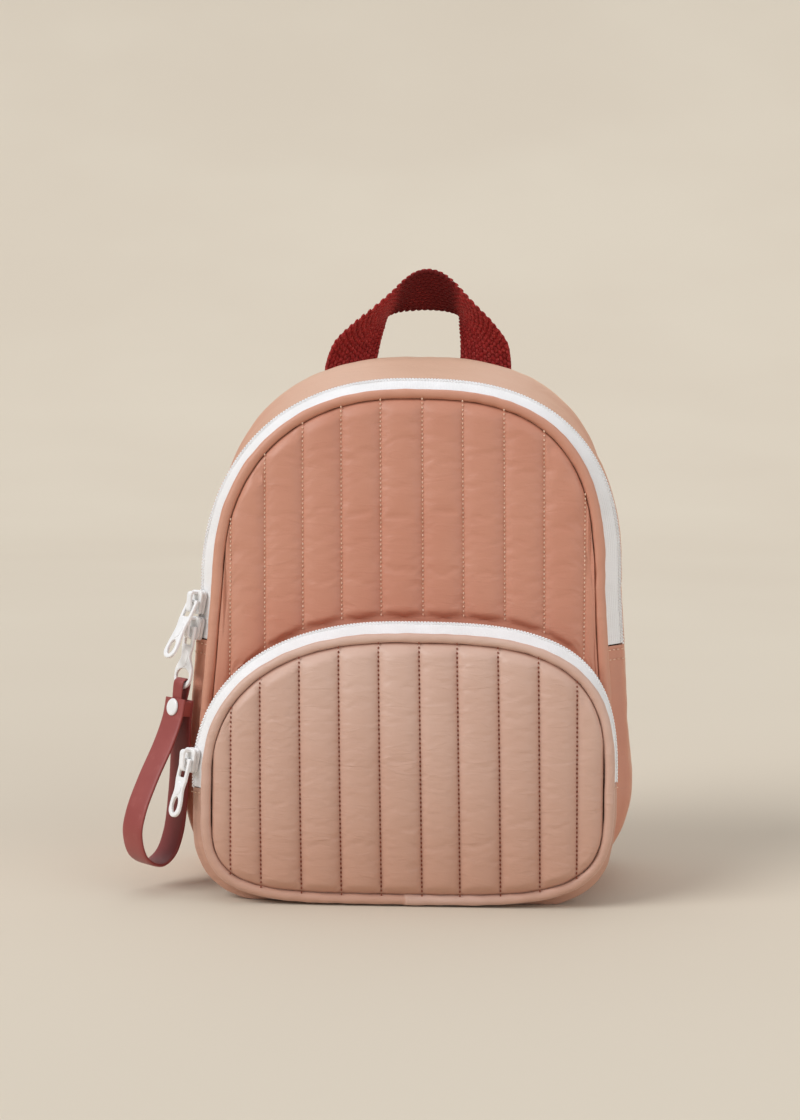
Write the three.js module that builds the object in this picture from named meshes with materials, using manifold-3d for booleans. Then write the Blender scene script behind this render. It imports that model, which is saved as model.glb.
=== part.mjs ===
// Mini backpack: an arched main compartment with a quilted front, a quilted front pocket, white zips,
// a webbing grab handle, a loop strap on the lower zip pull and two shoulder straps behind.
// Millimetres. +X is to the right seen from the front, the front faces -Y and +Z is up.
// The origin is the centre of the flat base that the bag stands on.
import * as THREE from "three";
import Module from "manifold-3d";

const wasm = await Module();
wasm.setup();

// Sewn bodies
const GAP = 0.3; // left between neighbouring pieces
const WALL = 2; // gusset cloth with its lining
const TAPE = 1.2; // zip tape
const PIPING = 3.25; // radius of the corded edges
const BAG = { depth: 78, lean: 4 }; // front seam to back seam at the floor, and how far the front leans back
const POCKET = { depth: 26 }; // pocket seam to main seam

// Seam lines: an arch over sloping sides over a rounded base. Half widths and squareness are given for the
// left and the right side, which slump differently. Square 2 is round, and more is squarer.
const MAIN_SEAM = {
  arch: { halfWidth: [86.4, 85.2], level: 140, height: 86.4, square: [2.3, 2.8] },
  base: { halfWidth: [92.8, 91.2], level: 54, height: 50.4, square: [3.5, 3] },
};
const POCKET_SEAM = {
  arch: { halfWidth: [88.1, 89.7], level: 54.4, height: 64.1, square: [2.35, 3.15] },
  base: { halfWidth: [88.1, 89.7], level: 54.4, height: 50.5, square: [4.7, 4] },
};
const POCKET_FOOT = {
  arch: { halfWidth: [86.7, 86.2], level: 54.4, height: 62, square: [2.35, 2.6] },
  base: { halfWidth: [86.7, 86.2], level: 54.4, height: 45.2, square: [3.4, 2.9] },
};
const MAIN_ZIP_END = 113;
const POCKET_ZIP_END = 50;

// Rings of the main gusset, from the front seam to the back one: a distance behind the front, a share of
// the way from there to the back seam, and the bulge past the seam line at the sides, shoulders and top.
const SHOULDER = 0.45; // upward share of the seam's normal at the shoulders
const ZIP_RINGS = [
  { behind: 3.5, share: 0, side: 2.2, shoulder: 2.2, top: 2.2 },
  { behind: 7.5, share: 0, side: 6.7, shoulder: 5.9, top: 5.4 },
  { behind: 11, share: 0, side: 10, shoulder: 8.6, top: 7.8 },
];
const GUSSET_RINGS = [
  { behind: 11.4, share: 0, side: 10.4, shoulder: 9, top: 8.4 },
  { behind: 11.4, share: 0.2, side: 12.7, shoulder: 10.6, top: 13 },
  { behind: 11.4, share: 0.5, side: 14.2, shoulder: 12, top: 18.4 },
  { behind: 11.4, share: 0.8, side: 13, shoulder: 11.4, top: 17 },
  { behind: 11.4, share: 0.94, side: 10.5, shoulder: 10, top: 13.4 },
  { behind: 11.4, share: 1, side: 8, shoulder: 8, top: 10 },
];
// Rings of the pocket wall, the same way; foot is the share of the way to the line sewn to the front panel.
const POCKET_ZIP_RINGS = [
  { behind: 3.5, share: 0, side: 2.2, shoulder: 2.2, top: 2.2, foot: 0 },
  { behind: 7, share: 0, side: 5.8, shoulder: 5.4, top: 4.8, foot: 0 },
  { behind: 10, share: 0, side: 8, shoulder: 7.4, top: 6.6, foot: 0 },
];
const POCKET_WALL_RINGS = [
  { behind: 10.4, share: 0, side: 8.2, shoulder: 7.8, top: 7, foot: 0 },
  { behind: 10.4, share: 0.45, side: 7.4, shoulder: 7, top: 6.4, foot: 0.4 },
  { behind: 10.4, share: 0.8, side: 3.6, shoulder: 3.6, top: 3.6, foot: 0.8 },
  { behind: 10.4, share: 1, side: 0, shoulder: 0, top: 0, foot: 1 },
];

// Quilting: vertical channels between stitched lines
const MAIN_QUILT = { lines: 10, pitch: 18.2, shift: -0.5, puff: 3.6, crown: 3, pinch: 9 };
const POCKET_QUILT = { lines: 10, pitch: 17.5, shift: -1.6, puff: 4, crown: 5, pinch: 8 };
const PANEL = { front: 1, back: 1.6, rows: 8, perChannel: 3, perEdge: 5 };
const BACK_PANEL = { grow: 9.4, thickness: 4, crown: 4 };

// Zip hardware. A slider's height is where it sits on its zip, and swing is how far its pull stands out.
const SLIDER = { width: 8.6, length: 11, thickness: 3.4, bridge: 3, bridgeHeight: 4.2, bar: 1.3 };
const PULL = { thickness: 1.6, halfWidth: 3.8, pivot: 5.2, eyeHalf: 2.2, eyeLength: 7, bar: 0.8 };
const SLIDERS = {
  mainUpper: { height: 129.5, swing: 25, length: 29 },
  mainLower: { height: 117.5, swing: 5, length: 28.6 },
  pocket: { height: 61.5, swing: 10.5, length: 26 },
};
const PULL_TIP = { halfWidth: 4, holeRise: 1.6, holeHalfWidth: 2.1, holeHalfHeight: 3.6 };
const STRAP_TIP = { halfWidth: 6, holeRise: 0.2, holeHalfWidth: 4.7, holeHalfHeight: 3.5 };

// Loop strap on the lower pull, seen along its width: out from the pull and down from the pull's tip
const TAG = { width: 14, thickness: 1.8, tongue: 6.6, tongueThickness: 1.1, rivet: 3.9, seam: 8.6 };
const TAG_PATH = [
  { out: 2.3, down: 4.4 },
  { out: 2.5, down: 13 },
  { out: 5.2, down: 25 },
  { out: 11.4, down: 43 },
  { out: 15.2, down: 58 },
  { out: 15.2, down: 68 },
  { out: 9.6, down: 78 },
  { out: 0.6, down: 80.6 },
  { out: -5.4, down: 76 },
  { out: -8.2, down: 66 },
  { out: -7.6, down: 48 },
  { out: -5.4, down: 30 },
  { out: -2.7, down: 13 },
  { out: -2.3, down: 4.4 },
];

// Webbing grab handle, half of it from the sewn end to the top: its outer and inner edge, seen from the
// front, and how far its middle lies behind the back panel. Skew leans the top to the right.
const HANDLE = { width: 25, thickness: 1.8, foot: 238, skew: 5.5, shift: 1.5 };
const HANDLE_PATH = [
  { outerX: 45.4, outerZ: -26, innerX: 20.4, innerZ: -26, behind: 1.6 },
  { outerX: 45.4, outerZ: -9, innerX: 20.4, innerZ: -9, behind: 1.6 },
  { outerX: 45.4, outerZ: 2, innerX: 20.4, innerZ: 3, behind: 1.4 },
  { outerX: 42.4, outerZ: 13.2, innerX: 19.4, innerZ: 12.4, behind: -0.6 },
  { outerX: 36.2, outerZ: 20.8, innerX: 18.6, innerZ: 18.4, behind: -2.4 },
  { outerX: 27.6, outerZ: 29.2, innerX: 17.8, innerZ: 23.6, behind: -4.4 },
  { outerX: 19.8, outerZ: 36.6, innerX: 16.2, innerZ: 27, behind: -5.6 },
  { outerX: 12.4, outerZ: 43.4, innerX: 11.4, innerZ: 28.6, behind: -6.6 },
  { outerX: 5.8, outerZ: 47.4, innerX: 5.6, innerZ: 29.5, behind: -7.2 },
  { outerX: 0, outerZ: 48.6, innerX: 0, innerZ: 29.8, behind: -7.5 },
];

// Shoulder straps, right-hand rows: behind is the distance behind the back panel.
// Each meets its webbing at an adjuster, and both pass through a slot of it to the middle bar.
const STRAP_PATH = [
  { x: 44, behind: 3.6, z: 205, width: 30, thickness: 6 },
  { x: 44, behind: 6, z: 192, width: 32, thickness: 6 },
  { x: 46, behind: 15, z: 170, width: 34, thickness: 6 },
  { x: 51, behind: 22, z: 140, width: 34, thickness: 6 },
  { x: 57, behind: 23.5, z: 108, width: 33, thickness: 6 },
  { x: 60.6, behind: 21.6, z: 89, width: 31, thickness: 6 },
  { x: 61.4, behind: 20.4, z: 84.5, width: 21, thickness: 2.4 },
];
const WEBBING_PATH = [
  { x: 68.6, behind: 13, z: 50, width: 20, thickness: 1.2 },
  { x: 71.6, behind: 6.4, z: 36, width: 20, thickness: 1.2 },
  { x: 73.5, behind: 1.6, z: 26, width: 20, thickness: 1.2 },
  { x: 74, behind: 1.2, z: 16, width: 20, thickness: 1.2 },
];
const ADJUSTER = { x: 64.8, behind: 17, z: 68, width: 25.4, halfLength: 9.6, thickness: 2 };
const SLOT = { width: 21.2, low: 1.2, high: 7.2 };
const WEAVE = [
  { along: 10.4, out: -2 },
  { along: 7.6, out: -2 },
  { along: 5.8, out: -1.2 },
  { along: 3.2, out: 1.2 },
  { along: 1.6, out: 2 },
  { along: 0.3, out: 2 },
];

const CLOTH = { metalness: 0, roughness: 0.85 };
const RUBBER = { metalness: 0, roughness: 0.55 };
const PLASTIC = { metalness: 0, roughness: 0.4 };
const material = (color, look = CLOTH) => new THREE.MeshStandardMaterial({ color, ...look });
const TERRACOTTA = 0xc4846b;
const DUSTY_PINK = 0xc69c88;
const WHITE = 0xf2f1ee;
const BURGUNDY = 0x7a2229;
const RED_RUBBER = 0xa24a46;

const lerp = THREE.MathUtils.lerp;
const smoothstep = THREE.MathUtils.smoothstep;
const radians = THREE.MathUtils.degToRad;

const sideOf = (x) => (x < 0 ? 0 : 1);

// A closed seam line in the X-Z plane that starts at the bottom centre and runs up the right side.
class Outline {
  constructor({ arch, base }) {
    this.arch = arch;
    this.base = base;
    this.points = [];
    const quarter = 160;
    for (let i = 0; i < 4 * quarter; i++) {
      const angle = (Math.PI / 2) * (i / quarter - 1);
      const part = Math.sin(angle) < 0 ? base : arch;
      const side = sideOf(Math.cos(angle));
      const along = (value) => Math.sign(value) * Math.abs(value) ** (2 / part.square[side]);
      const x = part.halfWidth[side] * along(Math.cos(angle));
      this.points.push(new THREE.Vector2(x, part.level + part.height * along(Math.sin(angle))));
    }
    this.points.push(this.points[0].clone());
    this.lengths = [0];
    for (let i = 1; i < this.points.length; i++) {
      this.lengths.push(this.lengths[i - 1] + this.points[i].distanceTo(this.points[i - 1]));
    }
  }

  grow(distance) {
    const wider = (part) => ({
      ...part,
      halfWidth: part.halfWidth.map((halfWidth) => halfWidth + distance),
      height: part.height + distance,
    });
    return new Outline({ arch: wider(this.arch), base: wider(this.base) });
  }

  // Point at a share of the way round.
  point(share) {
    const target = (share - Math.floor(share)) * this.lengths.at(-1);
    const next = Math.max(1, this.lengths.findIndex((length) => length >= target));
    const span = this.lengths[next] - this.lengths[next - 1];
    const part = span > 0 ? (target - this.lengths[next - 1]) / span : 0;
    return this.points[next - 1].clone().lerp(this.points[next], part);
  }

  // Evenly spaced points with their outward normals.
  stations(from, to, steps) {
    return Array.from({ length: steps + 1 }, (_, i) => {
      const share = lerp(from, to, i / steps);
      const along = this.point(share + 0.002).sub(this.point(share - 0.002)).normalize();
      return { at: this.point(share), normal: new THREE.Vector2(along.y, -along.x) };
    });
  }

  // Share of the way round at which the right or the left side reaches a height.
  shareAt(height, left = false) {
    const reached = (point) => point.y >= height;
    const next = left ? this.points.findLastIndex(reached) + 1 : this.points.findIndex(reached);
    const [here, there] = [this.points[next - 1], this.points[next]];
    const part = (height - here.y) / (there.y - here.y);
    return lerp(this.lengths[next - 1], this.lengths[next], part) / this.lengths.at(-1);
  }

  // How far the outline reaches to the side of a point.
  reach(x) {
    return this.base.halfWidth[sideOf(x)];
  }

  // Highest and lowest point of the outline at a distance from its middle.
  top(x) {
    const { level, halfWidth, height, square } = this.arch;
    const side = sideOf(x);
    const beyond = Math.abs(x) - halfWidth[side];
    if (beyond > 0) {
      return lerp(level, this.base.level, Math.min(1, beyond / (this.reach(x) - halfWidth[side])));
    }
    return level + height * (1 - Math.abs(x / halfWidth[side]) ** square[side]) ** (1 / square[side]);
  }

  bottom(x) {
    const { level, height } = this.base;
    const square = this.base.square[sideOf(x)];
    return level - height * Math.max(0, 1 - Math.abs(x / this.reach(x)) ** square) ** (1 / square);
  }
}

const mainSeam = new Outline(MAIN_SEAM);
const pocketSeam = new Outline(POCKET_SEAM);
const pocketFoot = new Outline(POCKET_FOOT);

const slope = Math.tan(radians(BAG.lean));
const frontY = (z) => -BAG.depth / 2 + z * slope;
const backY = BAG.depth / 2;
const pocketY = (z) => frontY(z) - POCKET.depth;

// Bulge of a ring where the seam faces sideways, at the shoulders or on top.
function bulgeOf(ring, normal) {
  const up = Math.max(0, normal.y);
  return up < SHOULDER
    ? lerp(ring.side, ring.shoulder, up / SHOULDER)
    : lerp(ring.shoulder, ring.top, (up - SHOULDER) / (1 - SHOULDER));
}

// Bulge of a panel towards the front, none at its seam.
function crown(outline, x, z) {
  const across = Math.max(0, 1 - (x / outline.reach(x)) ** 2);
  const middle = (outline.top(0) + outline.bottom(0)) / 2;
  const up = Math.max(0, 1 - ((z - middle) / (outline.top(0) - middle)) ** 2);
  return across * up;
}

const panelFace = (x, z) => frontY(z) - PANEL.front - MAIN_QUILT.crown * crown(mainSeam, x, z);

// Point of the main gusset, flattened where it rests on the floor.
function mainPoint({ at, normal }, ring, inset) {
  const out = bulgeOf(ring, normal) - inset;
  const z = Math.max(at.y + normal.y * out, inset);
  return new THREE.Vector3(at.x + normal.x * out, lerp(frontY(z) + ring.behind, backY, ring.share), z);
}

// Point of the pocket wall, which ends on the front panel.
function pocketPoint({ at, normal, foot }, ring, inset) {
  const out = bulgeOf(ring, normal) - inset;
  const x = lerp(at.x, foot.x, ring.foot) + normal.x * out;
  const z = Math.max(lerp(at.y, foot.y, ring.foot) + normal.y * out, inset);
  return new THREE.Vector3(x, lerp(pocketY(z) + ring.behind, panelFace(x, z) - GAP, ring.share), z);
}

function pocketStations(from, to, steps) {
  const feet = pocketFoot.stations(from, to, steps);
  return pocketSeam.stations(from, to, steps).map((station, i) => ({ ...station, foot: feet[i].at }));
}

// A closed solid through sections of equally many points. A section is a strip: its first half runs
// along one side and its second half back along the other. A ring has no ends, and others are capped.
function loft(sections, ring = false) {
  const count = sections[0].length;
  const index = [];
  const quad = (a, b, c, d) => index.push(a, b, c, a, c, d);
  const spans = ring ? sections.length : sections.length - 1;
  for (let i = 0; i < spans; i++) {
    const here = i * count;
    const next = ((i + 1) % sections.length) * count;
    for (let k = 0; k < count; k++) {
      const l = (k + 1) % count;
      quad(here + k, here + l, next + l, next + k);
    }
  }
  if (!ring) {
    const last = (sections.length - 1) * count;
    for (let k = 0; k < count / 2 - 1; k++) {
      const far = count - 1 - k;
      quad(k, far, far - 1, k + 1);
      quad(last + k, last + k + 1, last + far - 1, last + far);
    }
  }
  const points = sections.flat();
  let volume = 0;
  for (let i = 0; i < index.length; i += 3) {
    const [a, b, c] = [points[index[i]], points[index[i + 1]], points[index[i + 2]]];
    volume += a.dot(b.clone().cross(c));
  }
  if (volume < 0) {
    index.reverse();
  }
  const geometry = new THREE.BufferGeometry().setFromPoints(points);
  geometry.setIndex(index);
  geometry.computeVertexNormals();
  return geometry;
}

// A sewn wall that follows a stretch of a seam: out along its rings and back along the inside.
function wall(stations, rings, point, thickness) {
  return loft(stations.map((station) => [
    ...rings.map((ring) => point(station, ring, 0)),
    ...rings.toReversed().map((ring) => point(station, ring, thickness)),
  ]));
}

// A corded edge round a whole seam.
function piping(outline, seamY) {
  const sides = 6;
  const stations = outline.stations(0, 1, 56).slice(0, -1);
  return loft(stations.map(({ at, normal }) => Array.from({ length: sides }, (_, i) => {
    const angle = (2 * Math.PI * i) / sides;
    const z = at.y + normal.y * PIPING * Math.cos(angle);
    return new THREE.Vector3(
      at.x + normal.x * PIPING * Math.cos(angle), seamY(at.y) + PIPING * Math.sin(angle), z);
  })), true);
}

// Heights from low to high, closer together near both ends.
function spread(low, high, steps) {
  const share = (i) => (1 - Math.cos((Math.PI * i) / steps)) / 2;
  return Array.from({ length: steps + 1 }, (_, i) => lerp(low, high, share(i)));
}

// A padded panel of upright columns between two faces.
function panel(outline, columns, front, back, levels = (x, low, high) => spread(low, high, PANEL.rows)) {
  return loft(columns.map((column) => {
    const [low, high] = [outline.bottom(column.x), outline.top(column.x)];
    const heights = levels(column.x, low, high);
    const edge = (z) => Math.min(z - low, high - z);
    return [
      ...heights.map((z) => new THREE.Vector3(column.x, front(column, z, edge(z)), z)),
      ...heights.toReversed().map((z) => new THREE.Vector3(column.x, back(column.x, z), z)),
    ];
  }));
}

// Columns across a panel, with the share of a channel's full puff at each.
function quiltColumns(outline, quilt) {
  const [left, right] = outline.base.halfWidth.map((halfWidth) => halfWidth * 0.99);
  const first = quilt.shift - (quilt.pitch * (quilt.lines - 1)) / 2;
  const lines = Array.from({ length: quilt.lines }, (_, i) => first + i * quilt.pitch);
  const breaks = [-left, ...lines, right];
  const columns = breaks.slice(1).flatMap((end, i) => {
    const start = breaks[i];
    const size = Math.min(1, (end - start) / quilt.pitch);
    const samples = i === 0 || i === lines.length ? PANEL.perEdge : PANEL.perChannel;
    return Array.from({ length: samples }, (_, k) => {
      const part = k / samples;
      return { x: lerp(start, end, part), puff: size * Math.sin(Math.PI * part) ** 0.7 };
    });
  });
  return [...columns, { x: right, puff: 0 }];
}

// The front panel is quilted above the pocket and lies flat behind it.
function frontPanel() {
  const outline = mainSeam.grow(-PIPING - GAP);
  const pinch = (x, edge) => smoothstep(Math.min(edge, outline.reach(x) - Math.abs(x)), 0, MAIN_QUILT.pinch);
  const hidden = (x) => pocketSeam.top(Math.sign(x) * Math.min(Math.abs(x), pocketSeam.reach(x))) + 2;
  return panel(
    outline,
    quiltColumns(outline, MAIN_QUILT),
    ({ x, puff }, z, edge) => {
      const clear = smoothstep(z - hidden(x), 0, MAIN_QUILT.pinch);
      return panelFace(x, z) - MAIN_QUILT.puff * puff * pinch(x, edge) * clear;
    },
    (x, z) => frontY(z) + PANEL.back - MAIN_QUILT.crown * crown(mainSeam, x, z),
    (x, low, high) => [...spread(low, hidden(x), 3), ...spread(hidden(x), high, PANEL.rows - 2).slice(1)],
  );
}

function pocketPanel() {
  const outline = pocketSeam.grow(-PIPING - GAP);
  const face = (x, z) => pocketY(z) - POCKET_QUILT.crown * crown(pocketSeam, x, z);
  const inside = (x, edge) => Math.min(edge, outline.reach(x) - Math.abs(x));
  const pinch = (x, edge) => smoothstep(inside(x, edge), 0, POCKET_QUILT.pinch);
  return panel(
    outline,
    quiltColumns(outline, POCKET_QUILT),
    ({ x, puff }, z, edge) => face(x, z) - PANEL.front - POCKET_QUILT.puff * puff * pinch(x, edge),
    (x, z) => face(x, z) + PANEL.back,
  );
}

function backPanel() {
  const outline = mainSeam.grow(BACK_PANEL.grow);
  outline.base.height = outline.base.level;
  const [left, right] = outline.base.halfWidth.map((halfWidth) => halfWidth * 0.99);
  const columns = Array.from({ length: 15 }, (_, i) => ({ x: lerp(-left, right, i / 14) }));
  const swell = (x, z) => BACK_PANEL.crown * crown(outline, x, z);
  return panel(
    outline,
    columns,
    ({ x }, z) => backY + GAP + swell(x, z),
    (x, z) => backY + GAP + BACK_PANEL.thickness + swell(x, z),
  );
}

const backFace = (x, z) => (
  backY + GAP + BACK_PANEL.thickness + BACK_PANEL.crown * crown(mainSeam.grow(BACK_PANEL.grow), x, z));

// A flat or padded band along rows of centre, direction across, width and thickness.
function ribbon(rows, steps, rounded = false) {
  const path = new THREE.CatmullRomCurve3(rows.map((row) => row.centre));
  const turns = new THREE.CatmullRomCurve3(rows.map((row) => row.across));
  const profile = rounded
    ? [[-1, 0.35], [-0.86, 1], [0.86, 1], [1, 0.35], [1, -0.35], [0.86, -1], [-0.86, -1], [-1, -0.35]]
    : [[-1, 1], [1, 1], [1, -1], [-1, -1]];
  return loft(Array.from({ length: steps + 1 }, (_, i) => {
    const share = i / steps;
    const place = share * (rows.length - 1);
    const low = Math.min(Math.floor(place), rows.length - 2);
    const between = (size) => lerp(rows[low][size], rows[low + 1][size], place - low) / 2;
    const tangent = path.getTangent(share);
    const across = turns.getPoint(share);
    across.addScaledVector(tangent, -across.dot(tangent)).normalize();
    const normal = tangent.clone().cross(across);
    return profile.map(([side, face]) => path.getPoint(share)
      .addScaledVector(across, side * between("width"))
      .addScaledVector(normal, face * between("thickness")));
  }));
}

function handle() {
  const { width, thickness, foot, skew, shift } = HANDLE;
  const row = (side) => ({ outerX, outerZ, innerX, innerZ, behind }) => {
    const rise = (outerZ + innerZ) / 2;
    const x = (outerX + innerX) / 2;
    const across = new THREE.Vector3(side * (outerX - innerX), 0, outerZ - innerZ);
    across.y = -Math.sqrt(Math.max(0, width ** 2 - across.lengthSq()));
    const lean = shift + skew * Math.max(0, rise / HANDLE_PATH.at(-1).outerZ);
    const y = backFace(x, Math.min(foot + rise, foot - 9)) + behind;
    return { centre: new THREE.Vector3(side * x + lean, y, foot + rise), across, width, thickness };
  };
  const left = HANDLE_PATH.slice(0, -1).map(row(-1)).reverse();
  return ribbon([...HANDLE_PATH.map(row(1)), ...left], 54);
}

// One shoulder strap: padded band, webbing and the place of the adjuster that joins them.
function shoulderStrap(side) {
  const row = ({ x, behind, z, width, thickness }) => ({
    centre: new THREE.Vector3(side * x, backFace(x, z) + behind, z),
    across: new THREE.Vector3(1, 0, 0),
    width,
    thickness,
  });
  const above = row(STRAP_PATH.at(-1));
  const below = row(WEBBING_PATH[0]);
  const middle = row(ADJUSTER).centre;
  const along = above.centre.clone().sub(below.centre).normalize();
  const across = new THREE.Vector3(1, 0, 0).addScaledVector(along, -along.x).normalize();
  const out = across.clone().cross(along);
  const woven = (way) => ({ along: up, out: off }) => ({
    centre: middle.clone().addScaledVector(along, way * up).addScaledVector(out, off),
    across,
    width: below.width,
    thickness: below.thickness,
  });
  return {
    band: ribbon([...STRAP_PATH.map(row), ...WEAVE.map(woven(1))], 24, true),
    webbing: ribbon([...WEAVE.map(woven(-1)).reverse(), ...WEBBING_PATH.map(row)], 18),
    frame: new THREE.Matrix4().makeBasis(across, along, out).setPosition(middle),
  };
}

function toManifold(geometry) {
  const positions = geometry.getAttribute("position");
  const corners = geometry.index?.array ?? Array.from({ length: positions.count }, (_, i) => i);
  const mesh = new wasm.Mesh({
    numProp: 3,
    vertProperties: Float32Array.from(positions.array),
    triVerts: Uint32Array.from(corners),
  });
  mesh.merge();
  return new wasm.Manifold(mesh);
}

function fromManifold(solid) {
  const mesh = solid.getMesh();
  const geometry = new THREE.BufferGeometry();
  geometry.setAttribute("position", new THREE.BufferAttribute(mesh.vertProperties, mesh.numProp));
  geometry.setIndex(new THREE.BufferAttribute(mesh.triVerts, 1));
  geometry.computeVertexNormals();
  return geometry;
}

const join = (...geometries) => fromManifold(wasm.Manifold.union(geometries.map(toManifold)));
const cut = (body, ...tools) => fromManifold(tools.reduce(
  (left, tool) => left.subtract(toManifold(tool)), toManifold(body)));

function extrude(shape, depth, segments = 4) {
  const geometry = new THREE.ExtrudeGeometry(shape, { depth, bevelEnabled: false, curveSegments: segments });
  return geometry.translate(0, 0, -depth / 2);
}

function roundedRectangle(halfWidth, low, high, radius, Kind = THREE.Shape) {
  const shape = new Kind();
  shape.moveTo(halfWidth, low + radius);
  shape.absarc(halfWidth - radius, high - radius, radius, 0, Math.PI / 2, false);
  shape.absarc(-halfWidth + radius, high - radius, radius, Math.PI / 2, Math.PI, false);
  shape.absarc(-halfWidth + radius, low + radius, radius, Math.PI, 1.5 * Math.PI, false);
  shape.absarc(halfWidth - radius, low + radius, radius, 1.5 * Math.PI, 2 * Math.PI, false);
  return shape;
}

// A slider in its own frame: X across the zip to the front, Y up along it and Z out of it.
function slider() {
  const { width, length, thickness, bridge, bridgeHeight, bar } = SLIDER;
  const outline = new THREE.Shape();
  outline.moveTo(-width / 2, length / 2 - 2);
  outline.quadraticCurveTo(-width / 2, length / 2, -width / 2 + 2, length / 2);
  outline.lineTo(width / 2 - 2, length / 2);
  outline.quadraticCurveTo(width / 2, length / 2, width / 2, length / 2 - 2);
  outline.lineTo(width * 0.36, -length / 2);
  outline.lineTo(-width * 0.36, -length / 2);
  const body = extrude(outline, thickness).translate(0, 0, 0.4 + thickness / 2);
  const arch = new THREE.Shape();
  const half = length / 2 - 0.6;
  arch.moveTo(-half, -0.3);
  arch.lineTo(-half, bridgeHeight - 1.6);
  arch.quadraticCurveTo(-half, bridgeHeight, -half + 1.6, bridgeHeight);
  arch.lineTo(half - 1.6, bridgeHeight);
  arch.quadraticCurveTo(half, bridgeHeight, half, bridgeHeight - 1.6);
  arch.lineTo(half, -0.3);
  arch.lineTo(half - bar, -0.3);
  arch.lineTo(half - bar, bridgeHeight - bar);
  arch.lineTo(-half + bar, bridgeHeight - bar);
  arch.lineTo(-half + bar, -0.3);
  const turn = new THREE.Matrix4().makeBasis(
    new THREE.Vector3(0, 1, 0), new THREE.Vector3(0, 0, 1), new THREE.Vector3(1, 0, 0));
  const loop = extrude(arch, bridge).applyMatrix4(turn).translate(0, 0, 0.4 + thickness);
  return join(body, loop);
}

// A pull that hangs down -Y from its pivot, with an eye for the bridge and a hole near its tip.
function pull(length, tip) {
  const { halfWidth, eyeHalf, eyeLength, bar, thickness } = PULL;
  const end = -length + tip.halfWidth;
  const shape = new THREE.Shape();
  shape.moveTo(-halfWidth, bar);
  shape.lineTo(halfWidth, bar);
  shape.lineTo(halfWidth, -eyeLength - 2);
  shape.bezierCurveTo(halfWidth - 0.8, -13, tip.halfWidth, end + 5, tip.halfWidth, end);
  shape.absarc(0, end, tip.halfWidth, 0, -Math.PI, true);
  shape.bezierCurveTo(-tip.halfWidth, end + 5, -halfWidth + 0.8, -13, -halfWidth, -eyeLength - 2);
  shape.holes.push(roundedRectangle(eyeHalf, -bar - eyeLength, -bar, 0.8, THREE.Path));
  const hole = new THREE.Path();
  hole.absellipse(0, end + tip.holeRise, tip.holeHalfWidth, tip.holeHalfHeight, 0, 2 * Math.PI, false, 0);
  shape.holes.push(hole);
  return extrude(shape, thickness);
}

// The loop strap in the frame of its pull: a band, the tongue round the pull's end, and the sewn block.
function tagStrap() {
  const tip = -SLIDERS.mainLower.length;
  const row = (y, z, width, thickness) => ({
    centre: new THREE.Vector3(0, y, z),
    across: new THREE.Vector3(1, 0, 0),
    width,
    thickness,
  });
  const band = ribbon(TAG_PATH.map(({ out, down }) => row(tip - down, out, TAG.width, TAG.thickness)), 39);
  const reach = PULL.thickness / 2 + TAG.tongueThickness / 2 + 0.5;
  const high = tip + STRAP_TIP.halfWidth - STRAP_TIP.holeHalfHeight + 2.3;
  const tongue = ribbon([
    [tip - TAG.seam, 0.8],
    [tip - 2, reach],
    [high - 1.1, reach],
    [high, 0],
    [high - 1.1, -reach],
    [tip - 2, -reach],
    [tip - TAG.seam, -0.8],
  ].map(([y, z]) => row(y, z, TAG.tongue, TAG.tongueThickness)), 18);
  const block = new THREE.BoxGeometry(TAG.width - 0.2, 7, 4.2).translate(0, tip - TAG.seam, 0);
  return join(band, tongue, block);
}

function tagRivet() {
  const head = new THREE.CylinderGeometry(TAG.rivet * 0.8, TAG.rivet, 1.2, 20).rotateX(Math.PI / 2);
  const face = TAG_PATH[0].out + TAG.thickness / 2 + GAP;
  return head.translate(0, -SLIDERS.mainLower.length - TAG.seam, face + 0.75);
}

function adjuster() {
  const { width, halfLength, thickness } = ADJUSTER;
  const frame = extrude(roundedRectangle(width / 2, -halfLength, halfLength, 1.6), thickness, 3);
  const slot = new THREE.BoxGeometry(SLOT.width, SLOT.high - SLOT.low, 9);
  const rise = (SLOT.high + SLOT.low) / 2;
  return cut(frame, slot.clone().translate(0, rise, 0), slot.translate(0, -rise, 0));
}

// The place of a slider: on the left run of its zip at a height, in the frame that slider() uses.
function sliderFrame(seam, stationsAt, point, rings, height) {
  const at = (z) => stationsAt(seam.shareAt(z, true));
  const [front, , rear] = rings;
  const middle = { ...rear, behind: rear.behind - 1.2, side: rear.side - 0.9, top: rear.top - 0.7 };
  const across = point(at(height), front, 0).sub(point(at(height), rear, 0)).normalize();
  const up = point(at(height + 2), middle, 0).sub(point(at(height - 2), middle, 0)).normalize();
  const out = across.clone().cross(up).normalize();
  across.crossVectors(up, out);
  return new THREE.Matrix4().makeBasis(across, up, out).setPosition(point(at(height), middle, 0));
}

const bag = new THREE.Group();
bag.name = "mini_backpack";

function add(parent, name, geometry, color, look) {
  const mesh = new THREE.Mesh(geometry, material(color, look));
  mesh.name = name;
  parent.add(mesh);
  return mesh;
}

const zipEnds = (seam, height) => [seam.shareAt(height), seam.shareAt(height, true)];
const [mainRight, mainLeft] = zipEnds(mainSeam, MAIN_ZIP_END);
const [pocketRight, pocketLeft] = zipEnds(pocketSeam, POCKET_ZIP_END);
const seamGap = GAP / 600;

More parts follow.
